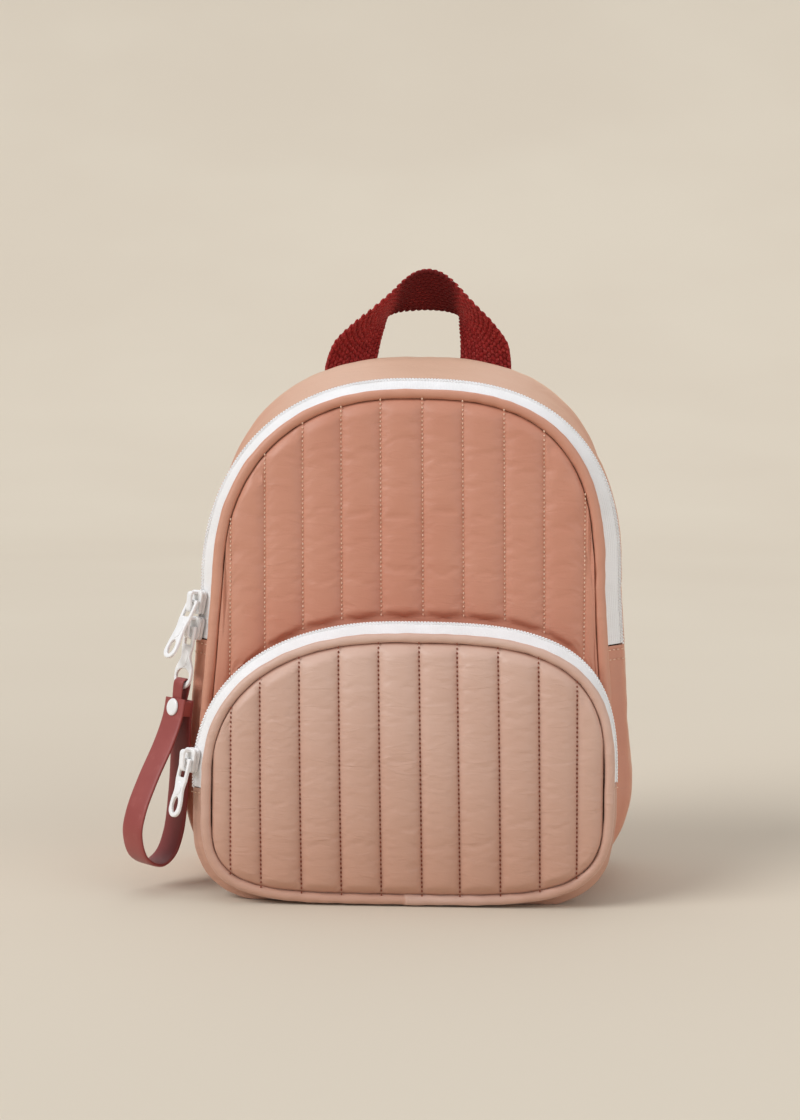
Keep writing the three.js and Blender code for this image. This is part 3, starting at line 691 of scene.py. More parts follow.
class NodeTree(NodeGraph):
    """A geometry node tree that can be grown on any set of lines."""

    label = "tree"

    def __init__(self) -> None:
        """Makes the tree with its inputs and wires it up."""
        self.tree = bpy.data.node_groups.new(self.label, "GeometryNodeTree")
        self.keys: dict[str, str] = {}
        self.source = self.tree.nodes.new("NodeGroupInput")
        self.expect("Geometry", "NodeSocketGeometry")
        self.tree.interface.new_socket("Geometry", in_out="OUTPUT", socket_type="NodeSocketGeometry")
        self.wire()

    def expect(self, name: str, kind: str) -> Socket:
        """Adds an input to the tree.

        Args:
            name: the input's name.
            kind: its socket type.

        Returns:
            The socket that gives the input's value inside the tree.
        """
        item = self.tree.interface.new_socket(name, in_out="INPUT", socket_type=kind)
        self.keys[name] = item.identifier
        return self.source.outputs[name]

    def numbers(self, *names: str) -> list[Socket]:
        """Adds inputs that are plain numbers."""
        return [self.expect(name, "NodeSocketFloat") for name in names]

    def uneven(self, low: float, high: float) -> Socket:
        """A random number for each point, picked by the tree's seed."""
        links = {"Min_001": low, "Max_001": high, "Seed": self.expect("Seed", "NodeSocketInt")}
        return self.node("FunctionNodeRandomValue", links, data_type="FLOAT").outputs[1]

    def spaced(self, pitch: Socket) -> Socket:
        """The lines as curves with their points a pitch apart."""
        curve = self.node("GeometryNodeMeshToCurve", {"Mesh": self.source.outputs["Geometry"]})
        links = {"Curve": curve.outputs[0], "Length": pitch}
        return self.node("GeometryNodeResampleCurve", links, mode="LENGTH").outputs[0]

    def moved(self, points: Socket, offset: Socket) -> Socket:
        """Points moved by an offset."""
        return self.node("GeometryNodeSetPosition", {"Geometry": points, "Offset": offset}).outputs[0]

    def direction(self, name: str) -> Socket:
        """Reads one of the lines' directions."""
        node = self.node("GeometryNodeInputNamedAttribute", {"Name": name}, data_type="FLOAT_VECTOR")
        return node.outputs["Attribute"]

    def turned(self, along: Socket, out: Socket) -> Socket:
        """A rotation with X along a line and Z out of the surface."""
        first = self.node("FunctionNodeAlignRotationToVector", {"Vector": along}, axis="X")
        second = self.node("FunctionNodeAlignRotationToVector",
                           {"Rotation": first.outputs[0], "Vector": out}, axis="Z", pivot_axis="X")
        return second.outputs[0]

    def scaled(self, vector: Socket, factor: object) -> Socket:
        """A vector times a number."""
        node = self.node("ShaderNodeVectorMath", {"Vector": vector, "Scale": factor}, operation="SCALE")
        return node.outputs["Vector"]

    def product(self, first: object, second: object) -> Socket:
        """Two numbers multiplied."""
        node = self.node("ShaderNodeMath", {"Value": first, "Value_001": second}, operation="MULTIPLY")
        return node.outputs[0]

    def total(self, first: object, second: object) -> Socket:
        """Two vectors added."""
        node = self.node("ShaderNodeVectorMath", {"Vector": first, "Vector_001": second}, operation="ADD")
        return node.outputs["Vector"]

    def beads(self, points: Socket, turn: Socket, size: Socket,
              rings: int) -> Socket:
        """Small round shapes on points, turned, and sized by their half length, width and height."""
        bead = self.node("GeometryNodeMeshUVSphere", {"Segments": 8, "Rings": rings})
        return self.node("GeometryNodeInstanceOnPoints", {
            "Points": points,
            "Instance": bead.outputs["Mesh"],
            "Rotation": turn,
            "Scale": size,
        }).outputs[0]

    def close(self, instances: Socket) -> None:
        """Ends the tree: real meshes, shaded smooth."""
        real = self.node("GeometryNodeRealizeInstances", {"Geometry": instances})
        smooth = self.node("GeometryNodeSetShadeSmooth", {"Geometry": real.outputs[0]})
        self.node("NodeGroupOutput", {"Geometry": smooth.outputs[0]})

    def wire(self) -> None:
        """Adds the tree's nodes."""
        raise NotImplementedError

    def grow(self, name: str, lines: Lines, **inputs: object) -> bpy.types.Object:
        """Runs the tree on lines and keeps the result as a plain mesh.

        Args:
            name: name of the new object.
            lines: where the things are set.
            inputs: the tree's named inputs, with _ for a space; lengths in metres.

        Returns:
            The object, with no modifier left on it.
        """
        seed = linked(name + "_lines", lines.mesh(name + "_lines"))
        modifier = seed.modifiers.new(self.label, "NODES")
        modifier.node_group = self.tree
        for key, value in inputs.items():
            modifier[self.keys[key.replace("_", " ").capitalize()]] = value
        mesh = bpy.data.meshes.new_from_object(evaluated(seed))
        mesh.name = name
        edges = seed.data
        bpy.data.objects.remove(seed)
        bpy.data.meshes.remove(edges)
        return linked(name, mesh)


class ThreadTree(NodeTree):
    """Stitches of sewing thread along lines."""

    label = "thread_stitches"
    half_length = (0.42, 0.52)
    half_width = 0.5
    half_height = 0.4

    def wire(self) -> None:
        """Evenly spaced stitches of slightly uneven length, each lying along its line."""
        pitch, length, width, lift = self.numbers("Pitch", "Length", "Width", "Lift")
        out = self.direction("out")
        raised = self.moved(self.spaced(pitch), self.scaled(out, lift))
        size = self.node("ShaderNodeCombineXYZ", {
            "X": self.product(length, self.uneven(*self.half_length)),
            "Y": self.product(width, self.half_width),
            "Z": self.product(width, self.half_height),
        })
        tangent = self.node("GeometryNodeInputTangent").outputs[0]
        self.close(self.beads(raised, self.turned(tangent, out), size.outputs[0], 5))


class CoilTree(NodeTree):
    """The two rows of a zip's coil, set half a pitch apart on both sides of a line."""

    label = "zip_coil"
    half_bar = 0.47
    half_reach = 0.56
    row_places = ((0.5, 0), (-0.5, 0.5))

    def wire(self) -> None:
        """Each turn of the coil is a short bar across the zip, and the bars of the rows take turns."""
        pitch, lift, reach, height = self.numbers("Pitch", "Lift", "Reach", "Height")
        spaced, out = self.spaced(pitch), self.direction("out")
        tangent = self.node("GeometryNodeInputTangent").outputs[0]
        across = self.node("ShaderNodeVectorMath", {"Vector": tangent, "Vector_001": out},
                           operation="CROSS_PRODUCT").outputs["Vector"]
        size = self.node("ShaderNodeCombineXYZ", {
            "X": self.product(pitch, self.half_bar),
            "Y": self.product(reach, self.half_reach),
            "Z": height,
        })
        rows = self.node("GeometryNodeJoinGeometry")
        for side, step in self.row_places:
            aside = self.scaled(across, self.product(reach, side))
            ahead = self.scaled(tangent, self.product(pitch, step))
            row = self.moved(spaced, self.total(self.total(aside, ahead), self.scaled(out, lift)))
            self.feed(rows.inputs[0], self.beads(row, self.turned(tangent, out), size.outputs[0], 6))
        self.close(rows.outputs[0])


class WeaveTree(NodeTree):
    """The yarn floats of a woven band, one on each point."""

    label = "woven_yarns"
    unevenness = (0.93, 1.07)

    def wire(self) -> None:
        """Each float lies along the band, a little longer or shorter than its neighbours."""
        size = self.scaled(self.expect("Yarn", "NodeSocketVector"), self.uneven(*self.unevenness))
        turn = self.turned(self.direction("along"), self.direction("out"))
        self.close(self.beads(self.source.outputs["Geometry"], turn, size, 6))


# Finishes

def paint(code: str) -> tuple[float, float, float, float]:
    """A colour from its six-digit screen code."""
    parts = [int(code[k:k + 2], 16) / 255 for k in (1, 3, 5)]
    linear = [p / 12.92 if p <= 0.04045 else ((p + 0.055) / 1.055) ** 2.4 for p in parts]
    return (*linear, 1.0)


class ShaderGraph(NodeGraph):
    """A material's nodes."""

    def __init__(self, name: str) -> None:
        """Makes the material."""
        self.material = bpy.data.materials.new(name)
        self.material.use_nodes = True
        self.tree = self.material.node_tree
        self.shader = self.tree.nodes["Principled BSDF"]
        self.places = self.tree.nodes.new("ShaderNodeTexCoord")

    def set(self, **values: object) -> None:
        """Feeds the shader's own inputs, named with _ for a space."""
        for name, value in values.items():
            self.feed(self.shader.inputs[name.replace("_", " ")], value)

    def stretched(self, scale: Sequence[float], turn: Sequence[float] = (0, 0, 0)) -> Socket:
        """Places on the piece, scaled along each axis and turned."""
        links = {"Vector": self.places.outputs["Object"], "Scale": tuple(scale), "Rotation": tuple(turn)}
        return self.node("ShaderNodeMapping", links).outputs[0]

    def noise(self, scale: float, detail: float = 3, vector: Socket | None = None,
              distortion: float = 0) -> Socket:
        """Cloudy noise with a number of waves to the metre."""
        where = self.places.outputs["Object"] if vector is None else vector
        links = {"Vector": where, "Scale": scale, "Detail": detail, "Distortion": distortion}
        return self.node("ShaderNodeTexNoise", links).outputs[0]

    def bands(self, scale: float, way: str) -> Socket:
        """Even bands across one axis of the UV map."""
        links = {"Vector": self.places.outputs["UV"], "Scale": scale}
        return self.node("ShaderNodeTexWave", links, bands_direction=way).outputs["Fac"]

    def tone(self) -> Socket:
        """The tone that the piece's own points carry, which the finishes turn into painted sheen, painted
        shade or paler lap cloth.
        """
        return self.node("ShaderNodeAttribute", attribute_name="tone").outputs["Fac"]

    def tinted(self, colour: object, value: Socket, low: float, high: float,
               code: str) -> Socket:
        """A colour that turns into another one, given by its code, where a value goes from low to high."""
        links = {"Factor_Float": self.spread(value, low, high), "A_Color": colour, "B_Color": paint(code)}
        return self.node("ShaderNodeMix", links, data_type="RGBA").outputs[2]

    def spread(self, value: Socket, low: float, high: float) -> Socket:
        """A value's stretch from low to high, spread over 0 to 1."""
        node = self.node("ShaderNodeMapRange", {"Value": value, "From Min": low, "From Max": high},
                         interpolation_type="SMOOTHSTEP")
        return node.outputs[0]

    def scaled(self, value: Socket, low: float, high: float) -> Socket:
        """A value from 0 to 1, spread over low to high."""
        return self.node("ShaderNodeMapRange", {"Value": value, "To Min": low, "To Max": high}).outputs[0]

    def bump(self, height: Socket, strength: float, distance: float,
             below: Socket | None = None) -> Socket:
        """A bump of a real height in metres, on top of another bump."""
        links = {"Height": height, "Strength": strength, "Distance": distance}
        if below is not None:
            links["Normal"] = below
        return self.node("ShaderNodeBump", links).outputs[0]


@dataclass(frozen=True)
class Finish:
    """A surface finish, made once as a material."""

    label: str
    slot: str
    colour: str
    shade: str

    def material(self) -> bpy.types.Material:
        """The finish's material."""
        made = bpy.data.materials.get(self.label)
        if made is None:
            graph = ShaderGraph(self.label)
            self.dress(graph)
            made = graph.material
        return made

    def dress(self, graph: ShaderGraph) -> None:
        """Adds the finish's nodes."""
        raise NotImplementedError


@dataclass(frozen=True)
class CrinkledNylon(Finish):
    """Thin plain-woven nylon with a soft sheen and fine creases."""

    # Bright: the sheen tint, and the colour that painted sheen and paler lap cloth turn to.
    bright: str
    # Seam: the colour of the painted shade in a panel's sunk border.
    seam: str
    crinkle: float
    # Foot: the colour of the painted shade towards the bottom.
    foot: str = ""
    roughness: float = 0.5

    def dress(self, graph: ShaderGraph) -> None:
        """Colour with painted shade towards the foot if one is given, painted sheen or paler lap cloth where
        tone is above 0, painted crease shade where it is below 0, level creases and grain.
        """
        clouds = graph.noise(18, 3)
        creases = graph.noise(150, 3, graph.stretched((0.4, 1, 1.6)), distortion=1.2)
        folds = graph.noise(58, 3, graph.stretched((0.45, 1, 1.5)), distortion=0.8)
        grain = graph.noise(1900, 2, graph.stretched((1, 1, 0.35)))
        cross_grain = graph.noise(1900, 2, graph.stretched((0.35, 1, 1)))
        colour = graph.tinted(paint(self.shade), clouds, 0.3, 0.7, self.colour)
        # Painted shade: the colour deepens towards the bottom.
        if self.foot:
            spot = graph.node("ShaderNodeSeparateXYZ", {"Vector": graph.places.outputs["Object"]})
            colour = graph.tinted(colour, spot.outputs["Z"], 0.12, -0.02, self.foot)
        tone = graph.tone()
        # Tone above 0: painted sheen, or the paler cloth of the piping's lap.
        colour = graph.tinted(colour, tone, 0, 1, self.bright)
        # Tone below 0: painted shade in the sunk border of a panel.
        colour = graph.tinted(colour, tone, -0.1, -1.1, self.seam)
        fine = graph.bump(grain, 0.14, 0.0002)
        fine = graph.bump(cross_grain, 0.14, 0.0002, fine)
        fine = graph.bump(graph.spread(creases, 0.4, 0.9), 0.32 * self.crinkle, 0.0006, fine)
        graph.set(Base_Color=colour, Roughness=self.roughness, Sheen_Weight=0.8, Sheen_Roughness=0.35,
                  Sheen_Tint=paint(self.bright), Specular_IOR_Level=0.5,
                  Normal=graph.bump(folds, 0.5 * self.crinkle, 0.0012, fine))


@dataclass(frozen=True)
class WovenTape(Finish):
    """Close-woven zip tape with ribs along it."""

    def dress(self, graph: ShaderGraph) -> None:
        """Fine ribs along the tape and finer ones across it."""
        ribs, picks = graph.bands(330, "Y"), graph.bands(420, "X")
        colour = graph.tinted(paint(self.shade), graph.noise(60), 0.3, 0.75, self.colour)
        weave = graph.bump(picks, 0.25, 0.0002, graph.bump(ribs, 0.4, 0.0003))
        graph.set(Base_Color=colour, Roughness=0.62, Sheen_Weight=0.15, Normal=weave)


@dataclass(frozen=True)
class MouldedPlastic(Finish):
    """Lacquered or moulded hardware."""

    roughness: float = 0.34

    def dress(self, graph: ShaderGraph) -> None:
        """A hardly uneven gloss over a hardly uneven colour."""
        clouds = graph.noise(140)
        colour = graph.tinted(paint(self.shade), clouds, 0.35, 0.7, self.colour)
        gloss = graph.scaled(graph.noise(900, 2), self.roughness - 0.05, self.roughness + 0.08)
        graph.set(Base_Color=colour, Roughness=gloss, Specular_IOR_Level=0.5,
                  Coat_Weight=0.12, Coat_Roughness=0.25, Normal=graph.bump(clouds, 0.05, 0.0003))


@dataclass(frozen=True)
class SpunYarn(Finish):
    """Spun yarn or sewing thread."""

    bright: str
    deep: str = "#000000"

    def dress(self, graph: ShaderGraph) -> None:
        """Colour that differs from yarn to yarn, with fine twisted fibres, and painted shade where the tone
        is above 0.
        """
        patches = graph.noise(420, 2)
        fibres = graph.noise(2600, 2, graph.stretched((1, 1, 0.4), turn=(0.3, 0.5, 0.4)))
        colour = graph.tinted(paint(self.shade), patches, 0.3, 0.7, self.colour)
        colour = graph.tinted(colour, fibres, 0.45, 0.8, self.bright)
        # Painted shade: tone turns the colour towards the shade colour.
        colour = graph.tinted(colour, graph.tone(), 0, 1, self.deep)
        graph.set(Base_Color=colour, Roughness=0.65, Sheen_Weight=0.15, Sheen_Roughness=0.4,
                  Sheen_Tint=paint(self.bright), Specular_IOR_Level=0.25,
                  Normal=graph.bump(fibres, 0.45, 0.0003))


@dataclass(frozen=True)
class SoftRubber(Finish):
    """Moulded silicone or coated strap, with painted shade on its inner face."""

    bright: str
    deep: str

    def dress(self, graph: ShaderGraph) -> None:
        """A satin skin with faint clouds, a dusting of paler patches, and painted shade where the tone is
        above 0.
        """
        clouds, pores = graph.noise(70, 4), graph.noise(1500, 2)
        colour = graph.tinted(paint(self.shade), clouds, 0.3, 0.75, self.colour)
        colour = graph.tinted(colour, graph.noise(240), 0.55, 0.9, self.bright)
        # Painted shade on the inner face.
        colour = graph.tinted(colour, graph.tone(), 0, 1, self.deep)
        skin = graph.bump(pores, 0.12, 0.0002, graph.bump(clouds, 0.15, 0.0008))
        graph.set(Base_Color=colour, Roughness=graph.scaled(clouds, 0.4, 0.58), Specular_IOR_Level=0.45,
                  Sheen_Weight=0.08, Normal=skin)


@dataclass(frozen=True)
class PaintedPaper(Finish):
    """The studio's plain sweep."""

    def dress(self, graph: ShaderGraph) -> None:
        """A matte, almost even colour."""
        colour = graph.tinted(paint(self.shade), graph.noise(1.2), 0.3, 0.7, self.colour)
        graph.set(Base_Color=colour, Roughness=0.95, Specular_IOR_Level=0.1)


class Palette(Enum):
    """The finishes of this bag and its studio."""

    # Terracotta: bright is the sheen tint and painted sheen colour; the colour after it is the painted shade
    # in a panel's sunk border.
    TERRACOTTA = CrinkledNylon(
        "terracotta_nylon", "terracotta_cloth", "#d0937a", "#cb8b72", "#d8b398", "#955b46", crinkle=0.65)
    # Pink: as terracotta, with painted shade towards the bottom as its foot colour.
    PINK = CrinkledNylon(
        "pink_nylon", "pink_cloth", "#d6b3a1", "#d1ab98", "#e2c8bb", "#93614e", crinkle=1.1, foot="#c2927b")
    TAPE = WovenTape("white_zip_tape", "white_zip", "#fbfbfb", "#f4f4f3")
    COIL = MouldedPlastic("white_coil", "white_zip", "#fbfbfb", "#f3f3f2", 0.4)
    WHITE = MouldedPlastic("white_lacquer", "white_plastic", "#fafafa", "#f3f3f2")
    # Webbing: the last colour is the painted shade under the handle's top.
    WEBBING = SpunYarn("burgundy_yarn", "burgundy_webbing", "#a42424", "#871718", "#c65a52", "#630c0c")
    # Rubber: the last colour is the painted shade on the loop's inner face.
    RUBBER = SoftRubber("red_silicone", "red_rubber", "#9c4a44", "#94423d", "#a85b54", "#8a3a37")
    PALE_THREAD = SpunYarn("peach_thread", "terracotta_cloth", "#efcbb0", "#dfb292", "#f9e3d1")
    BROWN_THREAD = SpunYarn("brown_thread", "pink_cloth", "#8a4836", "#793b2c", "#a3634e")
    ROSE_THREAD = SpunYarn("rose_thread", "terracotta_cloth", "#a8604b", "#964f3c", "#c58a74")
    SWEEP = PaintedPaper("studio_sweep", "", "#d9cfbd", "#d5cab8")


TREES: dict[str, NodeTree] = {}


def place(obj: bpy.types.Object, finish: Palette, body: str = "bag",
          stands_for: Sequence[str] = ()) -> bpy.types.Object:
    """Dresses a finished piece and hands it to the frame.

    Args:
        obj: the piece, at the origin.
        finish: its finish.
        body: the body that it moves with.
        stands_for: the nodes that it takes the place of.

    Returns:
        The piece.
    """
    obj.data.materials.clear()
    obj.data.materials.append(finish.value.material())
    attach(obj, body)
    if stands_for:
        obj.name = f"{stands_for[0]}_skin"
        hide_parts(*stands_for)
    LOG.info("%s: %d faces on %s", obj.name, len(obj.data.polygons), body)
    return obj


# Sewn cloth

@dataclass(frozen=True)
class Stitching:
    """Rows of stitches, with their sizes in millimetres."""

    thread: Palette
    pitch: float
    length: float
    width: float
    lift: float
    seed: int

    def sew(self, name: str, lines: Lines) -> None:
        """Sets stitches along lines, as one piece of the bag."""
        sizes = {key: getattr(self, key) * MM for key in ("pitch", "length", "width", "lift")}
        place(TREES["thread"].grow(name, lines, seed=self.seed, **sizes), self.thread)


@dataclass(frozen=True)
class Settling:
    """A short cloth simulation: a sheet sewn down along lines, pushed out by its filling."""

    frames: int = 16
    pressure: float = 6
    slack: float = 0.02
    enlarged: float = 10
    quality: int = 5
    mass: float = 0.2
    stretch: float = 18
    shear: float = 6
    bend: float = 0.4

    def run(self, sheet: Cloth, sewn: Array) -> Array:
        """Lets a sheet settle.

        Args:
            sheet: the sheet, with its faces pointing away from the filling.
            sewn: for each point, whether it is sewn down.

        Returns:
            The sheet's settled points, in millimetres.
        """
        scale = MM * self.enlarged
        mesh = bpy.data.meshes.new("settling")
        mesh.from_pydata((sheet.points * scale).tolist(), [], sheet.faces)
        obj = linked("settling", mesh)
        obj.vertex_groups.new(name="sewn").add(np.flatnonzero(sewn).tolist(), 1.0, "REPLACE")
        modifier = obj.modifiers.new("settle", "CLOTH")
        settings = modifier.settings
        settings.quality = self.quality
        settings.mass = self.mass
        settings.tension_stiffness = settings.compression_stiffness = self.stretch
        settings.shear_stiffness = self.shear
        settings.bending_stiffness = self.bend
        settings.vertex_group_mass = "sewn"
        settings.use_pressure = True
        settings.uniform_pressure_force = self.pressure
        settings.shrink_min = -self.slack
        settings.effector_weights.gravity = 0
        modifier.collision_settings.use_collision = False
        scene = bpy.context.scene
        for frame in range(1, self.frames + 1):
            scene.frame_set(frame)
        points = coordinates(evaluated(obj).data)
        bpy.data.objects.remove(obj)
        bpy.data.meshes.remove(mesh)
        scene.frame_set(1)
        return points / scale


@dataclass
class PaddedPanel:
    """A padded panel inside a seam, sewn down along upright lines.

    Puff is how far a full channel stands out, and face gives the depth of the stitched lines. Below
    flat_under, if it is given, the panel is covered and lies flat, and its channels roll down to it.
    Facing is -1 to the front. Reach is how near to the seam the outermost columns stand. Settled cloth is
    held to a share of the puff that goes from least, by gain, to its full height, its dents are kept to
    the share dent, and it drifts sideways by drift at most.
    """

    name: str
    outline: SeamLine
    face: Callable[[Array, Array], Array]
    finish: Palette
    stitching: Stitching | None = None
    lines: tuple[float, ...] = ()
    puff: float = 4
    pinch: float = 8
    back: float = 2.6
    facing: int = -1
    rows: int = 120
    spacing: float = 1.3
    flat_under: Callable[[Array], Array] | None = None
    settling: Settling = Settling()
    lean: float = 0
    roll: float = 3
    crease: float = 1.6
    sink: float = 0.9
    reach: float = 0.992
    roundness: float = 0.7
    least: float = 0.12
    gain: float = 1.18
    dent: float = 0.3
    drift: float = 1.2

    def columns(self) -> tuple[Array, Array, Array, list[int]]:
        """Places of the upright columns.

        Returns:
            The columns' x, their share of a full puff, the share of a full channel's width that their
            channel has, and the columns that are stitched lines.
        """
        left, right = self.outline.base.half_width
        breaks = (-self.reach * left, *self.lines, self.reach * right)
        pitch = max(np.diff(breaks).max(), 1)
        xs, puffs, shares, sewn = [np.array(breaks[:1])], [np.zeros(1)], [np.zeros(1)], []
        for start, end in zip(breaks, breaks[1:]):
            count = max(4, round((end - start) / self.spacing))
            part = np.arange(1, count + 1) / count
            xs.append(start + (end - start) * part)
            shares.append(np.full(count, min(1, (end - start) / pitch)))
            puffs.append(shares[-1] * np.sin(math.pi * part).clip(0) ** self.roundness)
            sewn.append(sum(map(len, xs)) - 1)
        return np.concatenate(xs), np.concatenate(puffs), np.concatenate(shares), sewn[:-1]

    def build(self) -> None:
        """Makes the pad, lets its cloth settle and sews its lines."""
        column, puff, share, sewn_columns = self.columns()
        low, high = self.ends(column)
        z = low + (high - low) * np.linspace(0, 1, self.rows)[:, None]
        x = self.leaned(column, z)
        base = np.stack([x, self.face(x, z), z], -1)
        edge = np.minimum(np.minimum(z - low, high - z), self.outline.reach(x) - np.abs(x))
        free = smoothstep(edge, 0, self.pinch)
        sewn = np.zeros(z.shape, bool)
        sewn[[0, -1]] = sewn[:, [0, -1]] = True
        sewn[:, sewn_columns] = True
        shown = np.ones(z.shape)
        if self.flat_under is not None:
            shown = smoothstep(z - self.flat_under(x), 0, self.roll)
            sewn |= shown == 0
        start = base + np.array([0, self.facing, 0]) * (self.puff * puff * free * shown)[..., None]
        front = Cloth(start.reshape(-1, 3), Cloth.quads(*z.shape))
        if self.facing > 0:
            front.faces = [face[::-1] for face in front.faces]
        settled = self.settling.run(front, sewn.ravel()).reshape(base.shape)
        start = self.capped(base, settled, free * share ** 2)
        pad = place(self.close(start, base, edge).object(self.name), self.finish, stands_for=[self.name])
        if self.stitching is not None:
            self.sew(base, shown, sewn_columns)

    def leaned(self, column: Array, z: Array) -> Array:
        """Places across of upright columns at heights: they lean, and less towards the sides."""
        middle = self.outline.base.level
        fade = 1 - np.minimum(np.abs(column) / self.outline.reach(column), 1) ** 4
        return column + self.lean * (middle - z) * fade

    def ends(self, column: Array) -> tuple[Array, Array]:
        """Heights at which columns meet the seam below and above."""
        low, high = self.outline.bottom(column), self.outline.top(column)
        for _ in range(6):
            low = self.outline.bottom(self.leaned(column, low))
            high = self.outline.top(self.leaned(column, high))
        return low, high

    def capped(self, base: Array, settled: Array, free: Array) -> Array:
        """Holds the settled cloth near the puff that the filling allows, and calm where it isn't free."""
        move = settled - base
        out = move[..., 1] * self.facing
        limit = self.puff * (self.least + self.gain * free)
        move[..., 1] = self.facing * np.where(out > 0, limit * np.tanh(out / limit), self.dent * out)
        move[..., (0, 2)] = np.clip(move[..., (0, 2)], -self.drift, self.drift) * free[..., None]
        return base + move

    def close(self, front: Array, base: Array, edge: Array) -> Cloth:
        """The pad as a closed mesh: the settled front with a sunk border, a narrow side and a flat back, with
        painted shade on the border, the side and the back.
        """
        rows, columns = front.shape[:2]
        index = np.arange(rows * columns).reshape(rows, columns)
        border = np.concatenate([index[0], index[1:, -1], index[-1, -2::-1], index[-2:0:-1, 0]])
        rim = base.reshape(-1, 3)[border] - np.array([0, self.facing * self.back, 0])
        start, count = rows * columns, len(border)
        faces = Cloth.quads(rows, columns)
        for k in range(count):
            after = (k + 1) % count
            faces.append((int(border[after]), int(border[k]), start + k, start + after))
        faces.append(tuple(range(start + count - 1, start - 1, -1)))
        near = 1 - smoothstep(edge, 0, self.crease)
        sunk = front - np.array([0, self.facing * self.sink, 0]) * near[..., None]
        pad = Cloth(np.concatenate([sunk.reshape(-1, 3), rim]), faces)
        # Painted crease shade: tone below 0 darkens the sunk border, the side and the back.
        pad.tone = -np.concatenate([near.ravel(), np.ones(count)])
        return pad

    def sew(self, base: Array, shown: Array, columns: list[int]) -> None:
        """Sets the stitches along the panel's lines."""
        lines = Lines()
        for column in columns:
            seen = shown[:, column] > 0
            lines.add(base[seen, column], np.array([0.0, self.facing, 0.0]))
        self.stitching.sew(self.name + "_stitches", lines)


@dataclass
class Piping:
    """A corded edge round a seam. A joined one shows its lapped ends.

    Side and top are the cord's radius and how far its middle lies outside the seam, there. A lap has its
    rise, and the share of the seam over which it sinks.
    """

    name: str
    seam: SeamLine
    depth: Callable[[Array], Array]
    finish: Palette
    side: Pair
    top: Pair
    joined: bool = False
    # Tone: painted sheen that pales the whole cord.
    tone: float = 0
    stations: int = 760
    sides: int = 18
    slant: float = 0.002
    puckers: Table = ((0.1, 9, 5), (0.05, 26, 6))
    lap: Pair = (0.35, 0.008)
    lap_tone: float = 0.25
    lap_fade: Pair = (0.02, 0.16)
    floor_gap: float = 0.15

    def build(self) -> None:
        """Sweeps the cord round its seam with small puckers."""
        angle = np.linspace(0, 2 * math.pi, self.sides, endpoint=False)[None]
        past = np.linspace(0, 1, self.stations, endpoint=False)[:, None]
        shares = past + self.slant * np.sin(angle)
        at, normal = self.seam.points(shares), self.seam.normals(shares)
        up = np.maximum(normal[..., 1], 0) ** 2
        radius, shift = (low + (high - low) * up for low, high in zip(self.side, self.top))
        if self.joined:
            rise, sinking = self.lap
            radius = radius + rise * np.exp(-past / sinking)
        at = at + shift[..., None] * normal
        centre = np.stack([at[..., 0], self.depth(at[..., 1]), at[..., 1]], -1)
        outward = np.stack([normal[..., 0], 0 * up, normal[..., 1]], -1)
        ways = np.cos(angle)[..., None] * outward + np.sin(angle)[..., None] * np.array([0.0, -1.0, 0.0])
        sections = centre + radius[..., None] * ways
        sections = sections + puckered(sections, self.puckers)[..., None] * ways
        sections[..., 2] = np.maximum(sections[..., 2], self.floor_gap)
        cord = Cloth.tube(sections, wrap=True)
        paler = self.lap_tone * (1 - smoothstep(past, *self.lap_fade)) if self.joined else 0 * past
        # Painted sheen over the whole cord, plus the paler cloth of the lap.
        cord.tone = np.broadcast_to(self.tone + paler, radius.shape).ravel()
        place(cord.object(self.name, crease=80), self.finish, stands_for=[self.name])


@dataclass
class SewnWall:
    """A wall of cloth or tape along a stretch of a seam.

    Waves have a share of the wave's height, a number of them in its wavelength, and a stretch along the
    bag's depth. Painted sheen is how much paler the wall is painted where it faces up.
    """

    name: str
    surface: Callable[..., Array]
    start: float
    end: float
    rings: Sequence[Ring]
    finish: Palette
    thickness: float = 2
    stations: int = 240
    across: int = 36
    wave: float = 0.5
    wavelength: float = 34
    seed: int = 1
    waves: Table = ((1, 1, 1.6), (0.35, 3, 2.2))
    fullness: float = 0.7
    bloom: float = 0
    bloom_start: float = 0.25
    line_points: int = 12
    line_step: float = 0.001

    def grid(self, inset: float = 0) -> Array:
        """Points of the wall, stations by rings."""
        shares = np.linspace(self.start, self.end, self.stations)
        return self.surface(shares, ring_rows(self.rings, np.linspace(0, 1, self.across)), inset)

    def build(self) -> None:
        """Makes the wall with soft waves that die out at its seams."""
        outer = self.grid()
        fade = np.sin(np.linspace(0, math.pi, self.across)) ** self.fullness
        swell = np.zeros(outer.shape[:2])
        for step, (height, number, depth) in enumerate(self.waves):
            waves = ripple(outer, self.wavelength / number, self.seed + step, (1, depth, 1))
            swell += height * self.wave * waves * fade
        normals = wall_normals(outer)
        outer = outer + normals * swell[..., None]
        outer[..., 2] = np.maximum(outer[..., 2], 0)
        wall = Cloth.shell(outer, self.grid(self.thickness))
        # Painted sheen: the wall turns paler where it faces up.
        if self.bloom:
            tone = self.bloom * smoothstep(normals[..., 2], self.bloom_start, 1)
            wall.tone = np.concatenate([tone, 0 * tone], 1).ravel()
        place(wall.object(self.name), self.finish, stands_for=[self.name])

    def line_across(self, share: float, first: float, last: float) -> tuple[Array, Array]:
        """A line across the wall at a share of the seam.

        Args:
            share: where on the seam.
            first: where the line starts, from 0 at the front ring to 1 at the rear one.
            last: where it ends.

        Returns:
            The line's points, and the way out of the wall at each.
        """
        rows = ring_rows(self.rings, np.linspace(first, last, self.line_points))
        shares = share + self.line_step * np.array([-1, 0, 1])
        before, line, after = self.surface(shares, rows)
        normal = unit(np.cross(after - before, np.gradient(line, axis=0)))
        outward = line - np.array([0.0, line[:, 1].mean(), FORM.middle_height])
        return line, normal * np.sign((normal * outward).sum())


